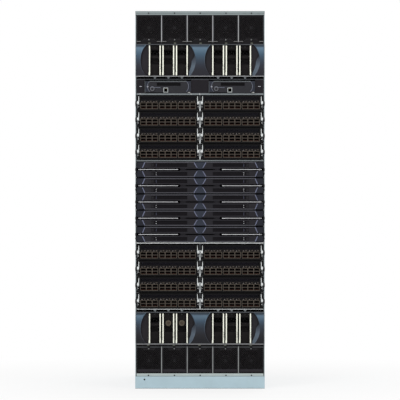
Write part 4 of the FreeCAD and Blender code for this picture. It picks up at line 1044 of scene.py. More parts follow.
def fan_case(shape):
    half_w, half_h = FAN_W / 2, FAN_H / 2
    in_w, in_h = half_w - FAN_WALL, half_h - FAN_WALL
    z = half_h - DUCT_R - 4
    shape.rim(rectangle(-half_w, half_w, -half_h, half_h),
              [(0, 3), (0, FAN_DEPTH - 0.6), (0.6, FAN_DEPTH), (FAN_WALL, FAN_DEPTH),
               (FAN_WALL, 3)], "fan_case")
    ring = circle(DUCT_R, 32, 0, z)
    edge = []
    for u, w in ring:
        room = in_h - z if w > z else in_h + z
        scale = min(in_w / max(abs(u), 1e-6), room / max(abs(w - z), 1e-6))
        edge.append((u * scale, z + (w - z) * scale))
    for y, way in ((FAN_OPEN_Y, -1), (FAN_DEPTH - 1, 1)):
        shape.loft([at(edge, y), at(ring, y)], "inside_dark", OPEN, facing=(0, way, 0))
        for corner in ((-in_w, -in_h), (in_w, -in_h), (in_w, in_h), (-in_w, in_h)):
            near = sorted(edge, key=lambda p: math.dist(p, corner))[:4]
            sides = [min((p for p in near if abs(p[k] - corner[k]) < 0.01),
                         key=lambda p: abs(p[1 - k] - corner[1 - k]), default=None)
                     for k in (0, 1)]
            if all(sides):
                shape.face(at([corner, *sides], y), "inside_dark", (0, way, 0))
    shape.turned([(DUCT_R, FAN_OPEN_Y), (DUCT_R - 0.6, 15), (DUCT_R - 0.6, FAN_DEPTH - 3),
                  (DUCT_R, FAN_DEPTH - 1)], 0, z, "inside_dark", 32, OPEN, "in")
    fan_rotor(shape, z)
    for i in range(9):
        low = z - DUCT_R + 8.6 * i
        half = math.sqrt(max(DUCT_R ** 2 - (low + 4.3 - z) ** 2, 60))
        shape.prism([(FAN_DEPTH - 14, low), (FAN_DEPTH - 13.2, low - 0.4),
                     (FAN_DEPTH - 8, low + 9.6), (FAN_DEPTH - 8.8, low + 10)],
                    -half, half, "inside_dark", axis="x")
    plug_z = FAN_BAY_H / 2 - 8
    shape.plug(12, FAN_DEPTH, plug_z - 4, plug_z + 4, 0.6,
               [(x - 0.5, x + 0.5, plug_z - 2.6, plug_z + 2.6)
                for x in (-9.1 + 2.6 * i for i in range(8))], 7.2)


def fans():
    for row, full, base, turn in (("top", False, FAN_HIGH, False),
                                  ("bottom", True, FAN_LOW, True)):
        shape = Shape()
        fan_front(shape, full)
        fan_case(shape)
        data = shape.mesh("fan_" + row)
        for i, x in enumerate(FAN_X, 1):
            node = "fan_%s_%d" % (row, i)
            put(node + "_module", data, node, (x, FRONT, base + FAN_BAY_H / 2), turn,
                (node,))


# Power supplies

SUPPLY_W = SUPPLY_PITCH - THIN_T - 2 * RUN
SUPPLY_H = SUPPLY_BAY_H - 2 * RUN
SUPPLY_DEPTH = 340
CHEEK_W = 5
MARK_PROUD = 0.05            # marks on a cheek, off its face
CHEEK_THIN = 1.1             # the plate is this much thinner, on its outer side
CHEEK_IN = SUPPLY_W / 2 - 1.15 - CHEEK_W
CHEEK_OUT = CHEEK_IN + CHEEK_W - CHEEK_THIN
CHEEK_END = SUPPLY_BAY_H / 2 - 1.7
CHEEK_DROP = 1.2             # the upper end is this much lower
NOSE_R = 3.5
CHEEK_MARKS = ((20, 2), (23, 2.6), (28, 2), (31, 2.6), (35, 2.2), (38, 2))
FACE_Y = 4
SOCKET_Y = 26
SOCKETS = (27, -3)
SOCKET_H = 20
CAP_Z = 17
CAP_R = 10


def cheek(shape, side):
    """A cream handle plate with a rounded nose at both ends."""
    nose = [(MARK_PROUD - CHEEK_PROUD + NOSE_R - NOSE_R * math.sin(math.pi / 2 * i / 4),
             CHEEK_END - NOSE_R + NOSE_R * math.cos(math.pi / 2 * i / 4)) for i in range(5)]
    outline = [(y, z - CHEEK_DROP) for y, z in [(SOCKET_Y, CHEEK_END)] + nose]
    outline += [(y, -z) for y, z in reversed(nose)] + [(SOCKET_Y, -CHEEK_END)]
    shape.bar(side, CHEEK_IN, CHEEK_OUT, outline, "cheek", 0.7)


def cheek_details(shape):
    """A foot at the lower end of the left cheek, small dark marks on the right one."""
    x, z = -CHEEK_OUT, -CHEEK_END
    outline = [(x + 0.6, z + 14), (x - 1.1, z + 9), (x - 1.1, z + 0.5), (x + 0.6, z + 0.5)]
    shape.prism(outline, -CHEEK_PROUD + 2.5, -2, "cheek", (0.5, 0.5))
    x = CHEEK_IN + CHEEK_W / 2
    for up, wide in CHEEK_MARKS:
        shape.block(x - wide / 2, x + wide / 2, -CHEEK_PROUD, 0.3 - CHEEK_PROUD,
                    z + up - 0.55, z + up + 0.55, "cheek_mark")


def socket_rim(shape, z, rest):
    """The frame round a socket; rest holds its last (inset, y) pairs."""
    outline = rectangle(-CHEEK_IN, CHEEK_IN, z - SOCKET_H / 2, z + SOCKET_H / 2)
    shape.rim(outline, [(0, FACE_Y + 1.4), (0, FACE_Y + 0.9), (0.3, FACE_Y + 0.6), *rest],
              "socket_black")
    return outline


def inlet(shape, z):
    """Mains inlet: a shouldered well with three blades."""
    half_w, half_h, cut = 12.4, SOCKET_H / 2 - 3.2, 3.6
    outline = [(-half_w, z - half_h), (half_w, z - half_h), (half_w, z + half_h - cut),
               (half_w - cut, z + half_h), (-half_w + cut, z + half_h),
               (-half_w, z + half_h - cut)]
    socket_rim(shape, z, [(3.2, FACE_Y + 0.6), (3.4, FACE_Y + 1.4)])
    shape.sleeve(outline, [(-1.6, FACE_Y + 1.2), (-1.2, FACE_Y + 0.4), (-0.3, FACE_Y + 0.4),
                           (0, FACE_Y + 1), (0, SOCKET_Y - 0.3)], "socket_black",
                 (False, True), facing=(0, 0, 0))
    # The blades are steel painted dark: painted shade in the well
    for x, dz in ((-6.4, -1.6), (6.4, -1.6), (0, 2.6)):
        shape.block(x - 1, x + 1, FACE_Y + 11, SOCKET_Y, z + dz - 2.4, z + dz + 2.4,
                    "pin_steel", 0.4)


def outlet(shape, z):
    """Second socket: a plain well with a slatted floor."""
    outline = socket_rim(shape, z, [(3, FACE_Y + 0.6), (3.3, FACE_Y + 1), (3.3, SOCKET_Y)])
    for i in range(5):
        slat = z + (i - 2) * 2.9
        shape.block(-CHEEK_IN + 4.2, CHEEK_IN - 4.2, FACE_Y + 3, SOCKET_Y, slat - 0.9,
                    slat + 0.9, "supply_black", 0.25)
    shape.face(at(outline, SOCKET_Y - 0.2), "inside_dark")


def supply_face(shape, capped):
    half_h = SUPPLY_H / 2
    sockets = SOCKETS[1:] if capped else SOCKETS
    levels = [half_h] + [z + s * SOCKET_H / 2 for z in sockets for s in (1, -1)] + [-half_h]
    for high, low in zip(levels[0::2], levels[1::2]):
        shape.block(-CHEEK_IN, CHEEK_IN, FACE_Y, SOCKET_Y, low, high, "supply_black", 0.5)
    if capped:
        supply_cap(shape)
    else:
        inlet(shape, SOCKETS[0])
    outlet(shape, SOCKETS[1])
    for i in range(4):
        z = -half_h + 9 + i * 5.4
        shape.block(-11, 11, FACE_Y - 0.5, FACE_Y + 0.2, z - 1.2, z + 1.2,
                    "supply_black", 0.3)
    shape.screw(0, half_h - 6.5, FACE_Y, 2.3, "screw_dark", "hole", 0.9)


def supply_cap(shape):
    """A round brown cap in place of the mains socket, dished in the middle."""
    shape.turned([(CAP_R, FACE_Y), (CAP_R, FACE_Y - 4.2), (CAP_R - 0.8, FACE_Y - 5),
                  (6, FACE_Y - 5), (5.2, FACE_Y - 4.3)], 0, CAP_Z, "cap_brown", 36, OPEN)
    shape.turned([(5.2, FACE_Y - 4.3), (2.4, FACE_Y - 4)], 0, CAP_Z, "cap_core", 36,
                 (False, True), FRONTAL)


def supply_case(shape):
    half_w, half_h = SUPPLY_W / 2, SUPPLY_H / 2
    shape.block(-half_w, half_w, SOCKET_Y, SUPPLY_DEPTH, -half_h, half_h, "case_steel", 0.8)
    shape.block(-half_w + 0.6, half_w - 0.6, SOCKET_Y - 0.15, SOCKET_Y + 0.2, -half_h + 0.6,
                half_h - 0.6, "inside_dark")
    shape.plug(12, SUPPLY_DEPTH, -30, 30, 0.8,
               [(x - 2.6, x + 2.6, z - 0.8, z + 0.8)
                for z in (-26 + 4 * i for i in range(14)) for x in (-5, 5)], 7.4)
    for i in range(8):
        for side in (-1, 1):
            ring = circle(2, 10, 60 + 34 * i, 0)
            x = side * half_w
            for z in (-half_h + 8, half_h - 8):
                shape.loft([[(x, u, w + z) for u, w in ring],
                            [(x + side * 0.25, u, w * 0.8 + z) for u, w in ring]],
                           "case_steel", (False, True))


def supplies():
    meshes = {}
    for capped in (False, True):
        shape = Shape()
        for side in (-1, 1):
            cheek(shape, side)
        cheek_details(shape)
        supply_face(shape, capped)
        supply_case(shape)
        meshes[capped] = shape.mesh("supply_capped" if capped else "supply")
    for row, base in (("top", SUPPLY_HIGH), ("bottom", SUPPLY_LOW)):
        for i, x in enumerate(SUPPLY_X, 1):
            node = "supply_%s_%d" % (row, i)
            put(node + "_module", meshes[row == "bottom" and i in (2, 3)], node,
                (x, FRONT, base + SUPPLY_BAY_H / 2), nodes=(node,))


# Management modules

MANAGE_H = SHELF_C - MANAGE_LOW - 2 * RUN
MANAGE_DEPTH = 280
MANAGE_Y = -4
MANAGE_TOP_GAP = 4.6
DISPLAY = (-38, 43, 2.1, 12.3)
KNOB = (-53.5, -8.5)
JACK = (-13.5, -1.5, -18.75, -6.25)
JACK_END = 12
TRAY_Y = 16.5                # the tray starts behind the moulded front


def arc_points(x_end, x_mid, half_h, width, steps=16):
    """Two bowed lines, a width apart, from the bottom to the top."""
    rise = x_mid - x_end
    radius = (half_h ** 2 + rise ** 2) / (2 * abs(rise))
    sign = 1 if rise > 0 else -1
    centre = x_mid - sign * radius
    lines = [[], []]
    for i in range(steps + 1):
        z = half_h * (2 * i / steps - 1)
        x = centre + sign * math.sqrt(radius * radius - z * z)
        lines[0].append((x - width / 2, z))
        lines[1].append((x + width / 2, z))
    return lines


def ribbon(shape, lines, y0, y1, material, edge=0.35):
    """A raised rib between two lines, with its long edges eased."""
    left, right = lines
    rows = []
    for (xa, za), (xb, zb) in zip(left, right):
        rows.append([(xa, y1, za), (xa, y0 + edge, za), (xa + edge, y0, za),
                     (xb - edge, y0, zb), (xb, y0 + edge, zb), (xb, y1, zb)])
    shape.loft(rows, material)


def manage_face(shape):
    half_w, half_h = MANAGE_W / 2, MANAGE_H / 2
    x0, x1, z0, z1 = DISPLAY
    y = MANAGE_Y
    top = half_h - MANAGE_TOP_GAP
    area = (-half_w + 0.6, half_w - 0.6, -half_h + 0.6, top - 0.6)
    shape.face_with_holes(area, [DISPLAY, JACK], y, "manage_grey")
    shape.sleeve(rectangle(*area), [(0, y), (-0.6, y + 0.6), (-0.6, TRAY_Y)], "manage_grey")
    shape.tunnel(rectangle(*DISPLAY), y, y + 2.5, "manage_grey", "display")
    shape.rim(rectangle(x0 - 1, x1 + 1, z0 - 1, z1 + 1),
              [(0, y), (0.3, y - 0.4), (0.9, y - 0.4), (1, y)], "manage_grey")
    for i in range(12):
        x = x0 + 5 + i * (x1 - x0 - 10) / 11
        shape.block(x - 0.25, x + 0.25, y + 2.2, y + 2.5, z0 + 1.6, z1 - 1.6, "socket_black")
    ends = arc_points(62.5, 70, top - 0.9, 1.7)
    ribbon(shape, ends, y - 1, y, "slate_line")
    ribbon(shape, [[(-x, z) for x, z in line] for line in reversed(ends)], y - 1, y,
           "slate_line")
    for side in (-1, 1):
        outer = [(side * (half_w - 1.3), z) for _, z in ends[0]]
        inner = [(side * (x + 1.2), z) for x, z in ends[1]]
        ribbon(shape, [inner, outer][::side], y - 0.45, y, "manage_end", 0.2)
    # Light grey bars along the top and up the left side: painted highlight on the face's edges
    for box in ((-62, 62, y - 0.6, y + 0.2, top - 2, top - 0.5, "lip_grey", 0.25),
                (-half_w + 0.2, -half_w + 1, y - 0.3, y + 0.3, -half_h + 1.4, top - 1.4,
                 "lip_grey", 0.2),
                # A near-black strip along the bottom: painted shade of the gap below the face
                (-half_w + 2, JACK[0] - 4, y - 0.1, y + 0.2, -half_h + 0.8, -half_h + 3,
                 "inside_dark")):
        shape.block(*box)


def manage_knob(shape):
    x, z = KNOB
    y = MANAGE_Y
    shape.turned([(7.25, y), (7.25, y - 4.3), (6.6, y - 5), (5.2, y - 5), (4.5, y - 4.2),
                  (4.5, y - 3)], x, z, "knob_ring", 40, OPEN)
    shape.turned([(4.5, y - 3), (4.2, y - 3.4), (1.8, y - 3.7)], x, z, "manage_grey", 40,
                 (False, True), FRONTAL)
    rows = []
    for i in range(13):
        t = i / 12 * 1.7
        angle = math.pi * (0.95 - 0.75 * min(t, 1))
        reach = max(t - 1, 0) / 0.7
        u = x + 8.2 * math.cos(angle) + 19 * reach
        w = z + 8.2 * math.sin(angle) - 0.4 * reach
        rows.append([(u, y - 0.5, w - 0.65), (u, y - 0.5, w + 0.65), (u, y + 0.1, w + 0.65),
                     (u, y + 0.1, w - 0.65)])
    shape.loft(rows, "slate_line")
    shape.block(x + 25.2, x + 27.4, y - 0.5, y, z + 3.2, z + 5.6, "slate_line", 0.2)


def manage_jack(shape):
    x0, x1, z0, z1 = JACK
    y = MANAGE_Y
    shape.rim(rectangle(x0 - 1.9, x1 + 1.9, z0 - 1.9, z1 + 1.9),
              [(0, y + 0.2), (0, y - 0.8), (0.4, y - 1.2), (1.6, y - 1.2), (1.9, y - 0.9),
               (1.9, y + 0.2)], "jack_frame")
    shape.tunnel(rectangle(*JACK), y, JACK_END, "inside_dark", "hole")
    pin = [(y + 3, z1 - 0.8), (JACK_END - 0.5, z1 - 4), (JACK_END - 0.5, z1 - 3.4),
           (y + 3, z1 - 0.3)]
    for i in range(8):
        x = x0 + 2 + i * (x1 - x0 - 4) / 7
        shape.prism(pin, x - 0.25, x + 0.25, "contact", axis="x")
    shape.block(x0 + 3.6, x1 - 3.6, y - 0.6, y + 3, z0 - 1.4, z0, "inside_dark")


def manage_marks(shape):
    y, x, low = MANAGE_Y, -69.5, -MANAGE_H / 2
    shape.prism([(x - 3.2, 0.8), (x + 3.2, 0.8), (x, -5.4)], y - 0.9, y - 0.4, "pale_mark",
                (0.2, 0))
    x = 72
    shape.block(x - 5, x + 5, y - 3, y, low + 0.6, low + 3.4, "lip_pale", 0.7)
    shape.turned([(2, y - 3), (1.6, y - 3.6)], x, low + 2.2, "screw_steel", 14)


def management():
    shape = Shape()
    half_w, half_h = MANAGE_W / 2, MANAGE_H / 2
    for part in (manage_face, manage_knob, manage_jack, manage_marks):
        part(shape)
    shape.block(-half_w, half_w, TRAY_Y, MANAGE_DEPTH, -half_h, half_h, "case_steel", 0.8)
    # A near-black face at the front of the tray, seen over the face's top gap: painted shade
    shape.block(-half_w + 0.6, half_w - 0.6, TRAY_Y - 0.3, TRAY_Y + 0.3, -half_h + 0.6,
                half_h - 0.6, "hole")
    data = shape.mesh("management")
    for name, side in (("left", -1), ("right", 1)):
        node = "management_" + name
        put(node + "_module", data, node, (side * MANAGE_X, FRONT, MANAGE_LOW + half_h + RUN),
            nodes=(node,))


# Leaf modules

LEAF_W = width("leaf_lower_right_1")
CARD_DEPTH = 480
PORT_W = 17.9
PORT_H = 7.2
PORT_PITCH = 20.2
GROUP_PITCH = 64.4
LOWER_PORT_Z = 9.3
UPPER_PORT_Z = 20.2
PORT_DEEP = 44
CAGE_Y = -2
VENT = (-94, 94, 37.1, 50.8)
VENT_DEEP = 3
MOUTH_X = 1                # how much the cage rims close in a port
MOUTH_Z = 0.05
# Blocks in a port: offset, half width, depth from and to, height from and to, look, bevel
PORT_SHARED = ((0, 5.6, PORT_DEEP - 9, PORT_DEEP, 1.9, 5.1, "connector", 0.3),
               (-8.2, 0.35, 1.5, 9, 1.6, 5.6, "cage", 0.2),
               (8.2, 0.35, 1.5, 9, 1.6, 5.6, "cage", 0.2))
PORT_BLOCKS = {
    True: (*PORT_SHARED, (0, 7.6, 1.2, 2, 0.2, 2.2, "port_red", 0.2),
           (0, 7.6, 2, 12, 0.2, 0.7, "port_red", 0)),
    False: (*PORT_SHARED, (0, 6.4, 0.6, 1.3, 0.2, 1.3, "port_brown", 0.2)),
}


def port_places():
    return [(g - 1) * GROUP_PITCH + (p - 1) * PORT_PITCH for g in range(3) for p in range(3)]


def port_mouth(x, z):
    return (x - PORT_W / 2 + MOUTH_X, x + PORT_W / 2 - MOUTH_X, z + MOUTH_Z,
            z + PORT_H - MOUTH_Z)


def card_case(shape, width, y, pitch, plug_half, first, step, count, half):
    """The closed case of a card, and its connector with two rows of contacts."""
    shape.block(-width / 2, width / 2, y, CARD_DEPTH, CARD_LIFT, pitch - RUN, "case_steel", 0.8)
    mid = pitch / 2
    shape.plug(plug_half, CARD_DEPTH, mid - 10, mid + 10, 0.8,
               [(x - half, x + half, z - 3.2, z + 3.2)
                for x in (first + step * i for i in range(count))
                for z in (mid - 5, mid + 5)], 7.4)


def leaf_port(shape, x, z, lower):
    """One cage: eased mouth, deep well, key rib and the connector at its end."""
    mouth = rectangle(*port_mouth(x, z))
    well = rectangle(x - PORT_W / 2, x + PORT_W / 2, z, z + PORT_H)
    rings = [at(mouth, CAGE_Y), at(mouth, CAGE_Y + 0.8), at(well, CAGE_Y + 1.4),
             at(well, PORT_DEEP)]
    shape.loft(rings[:2], "cage_light", OPEN, facing="in")
    shape.loft(rings[1:], "inside_dark", OPEN, facing="in")
    shape.face(rings[-1], "hole")
    for dx, half, y0, y1, z0, z1, name, bevel in PORT_BLOCKS[lower]:
        shape.block(x + dx - half, x + dx + half, y0, y1, z + z0, z + z1, name, bevel)


def leaf_group(shape, g):
    """The shared rim of six cages, cut off at its lower left corner."""
    centres = port_places()[3 * g:3 * g + 3]
    x0 = centres[0] - PORT_W / 2 - 1.5
    x1 = centres[-1] + PORT_W / 2 + 1
    z0, z1 = LOWER_PORT_Z - 2.3, UPPER_PORT_Z + PORT_H + 1.9
    cut = centres[0] - PORT_W / 2 + MOUTH_X
    holes = [port_mouth(x, z) for x in centres for z in (LOWER_PORT_Z, UPPER_PORT_Z)]
    shape.face_with_holes((cut, x1, z0, z1), holes, CAGE_Y, "cage")
    slope_z = LOWER_PORT_Z + PORT_H * 0.75
    shape.face(at([(cut, z0), (cut, z1), (x0, z1), (x0, slope_z), (cut - 1, z0)], CAGE_Y),
               "cage")
    edge = [(cut - 1, z0), (x1, z0), (x1, z1), (x0, z1), (x0, slope_z)]
    shape.sleeve(edge, [(0, CAGE_Y), (-0.25, 0.1)], "cage")
    shape.rim(edge, [(0, CAGE_Y + 0.2), (0.2, CAGE_Y - 0.3), (1.3, CAGE_Y - 0.3),
                     (1.5, CAGE_Y + 0.1)], "cage_light")
    for a, b in zip(centres, centres[1:]):
        x = (a + b) / 2
        shape.block(x - 0.9, x + 0.9, CAGE_Y - 0.3, CAGE_Y + 0.1, z0 + 1.4, z1 - 1.4,
                    "cage_light", 0.2)
    middle = (LOWER_PORT_Z + PORT_H + UPPER_PORT_Z) / 2
    shape.block(x0 + 1.4, x1 - 1.4, CAGE_Y - 0.25, CAGE_Y + 0.1, middle - 0.7, middle + 0.7,
                "cage_rule", 0.2)


def leaf_arrows(shape):
    """Pairs of small triangles over each port: one for the upper, one for the lower."""
    z0, z1 = 30.9, 34.9
    for x in port_places():
        for dx, up in ((-4.6, True), (4.6, False)):
            a, b = (z0, z1) if up else (z1, z0)
            outline = [(x + dx - 3.6, a), (x + dx + 3.6, a), (x + dx, b)]
            shape.rim(outline, [(0, 0.1), (0, -0.5), (0.2, -0.6), (0.75, -0.6),
                                (0.85, 0.1)], "arrow")
            shape.block(x + dx - 0.5, x + dx + 0.5, -0.45, 0.1, (a + b) / 2 - 0.9,
                        (a + b) / 2 + 0.1, "pale_mark" if up else "arrow")


def leaf_vent(shape):
    x0, x1, z0, z1 = VENT
    shape.tunnel(rectangle(*VENT), 0, VENT_DEEP, "leaf_black", "hole")
    shape.perforation((x0 - 0.2, x1 + 0.2, z0 - 1.6, z1 + 1.6), 4.4, 1.1, 0.5, 1.2, "leaf_vent",
                    lambda x, z: not z0 + 0.8 < z < z1 - 0.8)
    shape.rim(rectangle(*VENT), [(-0.5, 0.05), (-0.4, -0.3), (1.9, -0.3), (2.2, 0.3),
                                 (2.2, 0.8), (-0.1, 0.8)], "leaf_black")


def leaf_levers(shape):
    """The two ejectors, folded shut: thin blade, thick grip, thin foot."""
    out, thin, wide = LEAF_W / 2 - 0.2, 2.4, 7
    for side in (-1, 1):
        shape.bar(side, out - wide, out - (wide - thin),
                  [(0, 51), (-7.5, 42), (-7.5, 33), (0, 33)], "grip_steel", 0.5)
        shape.bar(side, out, out - wide,
                  [(0, 35.2), (-12, 32.6), (-GRIP_PROUD, 31.6), (-GRIP_PROUD, 25.6),
                   (-12, 24.6), (0, 21)], "grip_steel", 0.8)
        for i in range(4):
            z = 25.6 + 1.9 * i
            shape.beside(side, out - 1.2, out - wide + 1.2, -GRIP_PROUD, -11.9, z, z + 0.7,
                         "plated", 0.15)
        shape.bar(side, out, out - thin,
                  [(0, 24), (-7.5, 24), (-7.5, 12), (0, 7.4)], "plated_dark", 0.5)
        shape.turned([(1.7, -0.1), (1.5, -0.7), (0.9, -0.9)], side * (out - 3.5), 15,
                     "screw_steel", 14)


def leaf_case(shape):
    end = PORT_DEEP + 2
    shape.rim(rectangle(-LEAF_W / 2, LEAF_W / 2, CARD_LIFT, LEAF_PITCH - RUN),
              [(0, end), (0, 0.5), (0.4, 0.05), (2.2, 0.05), (2.4, 1), (2.4, end)],
              "leaf_black")
    card_case(shape, LEAF_W, end, LEAF_PITCH, 60, -56.7, 4.2, 28, 0.8)


def leaf_mesh():
    shape = Shape()
    half_w = LEAF_W / 2
    top = LEAF_PITCH - RUN - 0.4
    reach = PORT_PITCH + PORT_W / 2 - MOUTH_X
    holes = [VENT] + [(g * GROUP_PITCH - reach, g * GROUP_PITCH + reach, LOWER_PORT_Z - 1,
                       UPPER_PORT_Z + PORT_H + 1) for g in (-1, 0, 1)]
    shape.face_with_holes((-half_w + 0.4, half_w - 0.4, CARD_LIFT + 0.4, top), holes, 0.08,
                          "leaf_black")
    # A near-black strip along the top of the face: painted shadow under the ledge above
    shape.block(-half_w + 0.6, half_w - 0.6, -0.02, 0.2, top - 2.6, top, "inside_dark")
    for g in range(3):
        leaf_group(shape, g)
    for x in port_places():
        leaf_port(shape, x, LOWER_PORT_Z, True)
        leaf_port(shape, x, UPPER_PORT_Z, False)
    for part in (leaf_arrows, leaf_vent, leaf_levers, leaf_case):
        part(shape)
    return shape.mesh("leaf")


def leafs():
    data = leaf_mesh()
    for section, base in (("lower", LEAF_LOW), ("upper", LEAF_HIGH)):
        for name in ("left", "right"):
            for row in range(4):
                node = "leaf_%s_%s_%d" % (section, name, row + 1)
                put(node + "_module", data, node,
                    (middle_x(node), FRONT, base + row * LEAF_PITCH),
                    nodes=(node,))


# Spine modules

SPINE_W = width("spine_1")
SPINE_Y = -8
POD_Y = -10
POD_EDGE = 2.1               # pod to the edge of its module's front
SEAM_H = 2.2                 # dark seam between two modules, on each
GROOVE_H = 9
GROOVE_THIN = 0.42           # share of the groove left open inside the latches' outer ends
SPINE_LINE_W = 2.8
GROOVE_Y = 8
POD_OUT_END = 189.4
POD_OUT_MID = 198.3
POD_IN_END = 19.5
POD_IN_MID = 7.5
WINDOW = (43.7, 166.9)
WINDOW_H = 11.9
WINDOW_EDGE = 6.8
WINDOW_DEEP = 4
LATCH = (47, 68)
PIVOT_X = SPINE_W / 2 - 11
PIVOT_Y = -4


def pod_outline(side, upper):
    """Outline of a raised pod: its ends spread towards the lever."""
    middle = SPINE_PITCH / 2
    s = 1 if upper else -1
    outside, inside = middle - RUN - POD_EDGE, GROOVE_H / 2
    return [(side * x, middle + s * z)
            for x, z in ((POD_IN_END, outside), (POD_OUT_END, outside), (POD_OUT_MID, inside),
                         (POD_IN_MID, inside))]


def spine_window(side, upper):
    """Sides, bottom and top of the window in a pod."""
    z_high = SPINE_PITCH - WINDOW_EDGE
    z_low = z_high - WINDOW_H
    if not upper:
        z_low, z_high = SPINE_PITCH - z_high, SPINE_PITCH - z_low
    x0, x1 = sorted((side * WINDOW[0], side * WINDOW[1]))
    return (x0, x1, z_low, z_high)


def spine_pod(shape, side, upper):
    outline = pod_outline(side, upper)
    window = spine_window(side, upper)
    face = inset(outline, 0.5)
    left, right = sorted(p[0] for p in face)[1:3]
    bottom, top = min(p[1] for p in face), max(p[1] for p in face)
    shape.face_with_holes((left, right, bottom, top), [window], POD_Y, "spine_face")
    for x, tip in ((left, min(face)), (right, max(face))):
        shape.face(at([(x, bottom), (x, top), tip], POD_Y), "spine_face")
    shape.loft([at(face, POD_Y), at(outline, POD_Y + 0.5), at(outline, SPINE_Y + 0.1)],
               "spine_face", OPEN)
    shape.tunnel(rectangle(*window), POD_Y, POD_Y + WINDOW_DEEP, "spine_face",
                 "spine_window", 0.3)
    pod_lines(shape, outline)
    window_details(shape, window, side, upper)


def pod_lines(shape, outline):
    """Light lines: along the slanted ends and the long outer edge of a pod."""
    middle = SPINE_PITCH / 2
    inner = inset(outline, SPINE_LINE_W)
    for i in range(4):
        j = (i + 1) % 4
        a, b, c, d = outline[i], outline[j], inner[j], inner[i]
        if abs(a[1] - middle) < GROOVE_H and abs(b[1] - middle) < GROOVE_H:
            continue
        slanted = abs(a[1] - b[1]) > 5
        if not slanted:
            c, d = [tuple(p[k] + (q[k] - p[k]) * 0.6 for k in range(2)) for p, q in
                    ((b, c), (a, d))]
        shape.prism([a, b, c, d], POD_Y - 0.25, POD_Y + 1.4,
                    "spine_line" if slanted else "spine_rule", (0.15, 0))


def window_details(shape, window, side, upper):
    """Behind the window: a ventilated floor with a row of small status lights."""
    x0, x1, z0, z1 = window
    y = POD_Y + WINDOW_DEEP
    mid = (z0 + z1) / 2
    start = x0 if side < 0 else x1
    shape.block(*sorted((start, start - side * 9)), y - 0.7, y, z0 + 0.8, z1 - 0.8,
                "spine_bump", 0.3)
    for i in range(9):
        x = start - side * (27 + i * 9.6)
        shape.block(x - 4, x + 4, y - 0.35, y, z0 + 1.2, z1 - 1.2, "spine_window", 0.25)
    x = start - side * 17.6
    if upper:
        shape.block(x - 0.45, x + 0.45, y - 0.8, y - 0.1, z0 + 1, z1 - 1, "spine_line", 0.2)
    else:
        for z in (mid - 3.4, mid + 3.4):
            shape.turned([(1.15, y), (1.15, y - 0.6), (0.7, y - 1)], x, z, "led", 14)


def spine_front(shape):
    half_w = SPINE_W / 2
    middle = SPINE_PITCH / 2
    rim = GROOVE_H / 2
    for z0, z1, upper in ((RUN, middle - rim, False), (middle + rim, SPINE_PITCH - RUN, True)):
        windows = [spine_window(side, upper) for side in (-1, 1)]
        shape.face_with_holes((-half_w + 0.5, half_w - 0.5, z0 + 0.5, z1 - 0.5), windows,
                              SPINE_Y, "spine_end")
        edge = rectangle(-half_w, half_w, z0, z1)
        shape.loft([at(inset(edge, 0.5), SPINE_Y), at(edge, SPINE_Y + 0.5), at(edge, GROOVE_Y)],
                   "spine_end", OPEN)
        low, high = (z0 + 0.1, z1 - SEAM_H) if upper else (z0 + SEAM_H, z1 - 0.1)
        shape.block(-POD_IN_END - 1, POD_IN_END + 1, SPINE_Y - 0.12, SPINE_Y + 0.2, low,
                    high, "spine_mid", 0.1)
        edge_z = z0 if upper else z1
        low, high = sorted((edge_z, middle + (edge_z - middle) * GROOVE_THIN))
        shape.block(-POD_IN_MID, POD_IN_MID, SPINE_Y, GROOVE_Y, low, high, "spine_mid", 0.2)
        for side in (-1, 1):
            shape.beside(side, POD_IN_MID, LATCH[1], POD_Y, GROOVE_Y, low, high, "spine_face",
                         0.3)
        low, high = (z1 - SEAM_H, z1 - 0.1) if upper else (z0 + 0.1, z0 + SEAM_H)
        shape.block(-half_w + 0.6, half_w - 0.6, SPINE_Y - 0.2, SPINE_Y + 0.2, low, high,
                    "hole")
    shape.face(at(rectangle(-half_w, half_w, middle - 4.6, middle + 4.6), GROOVE_Y - 0.1),
               "hole")
    for side in (-1, 1):
        for upper in (False, True):
            spine_pod(shape, side, upper)
        shape.beside(side, *LATCH, POD_Y + 1, GROOVE_Y, middle - 3.2, middle + 3.2,
                     "spine_window", 0.8)
        shape.beside(side, LATCH[0] + 4, LATCH[1] - 4, POD_Y + 0.4, POD_Y + 2,
                     middle - 1.1, middle + 1.1, "spine_face", 0.3)
        shape.sleeve(circle(2, 24, side * PIVOT_X, PIVOT_Y),
                     [(0, middle - rim), (0, middle + rim)], "plated_dark", (True, True),
                     axis="z")


LEVER_T = 2.2
LEVER_REACH = 129


def lever_mesh(side):
    """The long ejector: round eye, tapered arm, turned-out finger and claw."""
    s = -side
    shape = Shape()
    half = LEVER_T / 2
    tip = LEVER_REACH - 18
    outline = [(s * x, y) for x, y in (
        (5, 4.2), (-1.8, 4.2), (-4.6, 3.4), (-7, 2.5), (-7, -1.5), (-4, -2.6),
        (-1.8, -4.2), (tip - 2, -4.2), (tip + 4, -5), (LEVER_REACH - 1.2, -8.7),
        (LEVER_REACH, -7.9), (LEVER_REACH - 0.4, -6.4), (tip + 5, -1.4), (tip, 0.7))]
    shape.prism(outline, -half, half, "steel", (0.5, 0.5), axis="z")
    for z, way in ((half, 1), (-half, -1)):
        shape.loft([[(u, w, z + way * h) for u, w in circle(r, 24)]
                    for r, h in ((3.9, -0.2), (3.9, 0.1), (3.3, 0.3), (2.3, 0.3))],
                   "plated_dark", (False, True))
    for i in range(5):
        x = tip + 3 + 2.6 * i
        y = -4.9 - (x - tip - 3) * 0.27
        rib = [(s * (x - 0.5), y - 0.35), (s * (x + 0.5), y - 0.5), (s * (x + 0.5), y + 0.6),
               (s * (x - 0.5), y + 0.6)]
        shape.prism(rib, -half + 0.6, half - 0.6, "plated", axis="z")
    return shape.mesh("spine_lever_%d" % side)


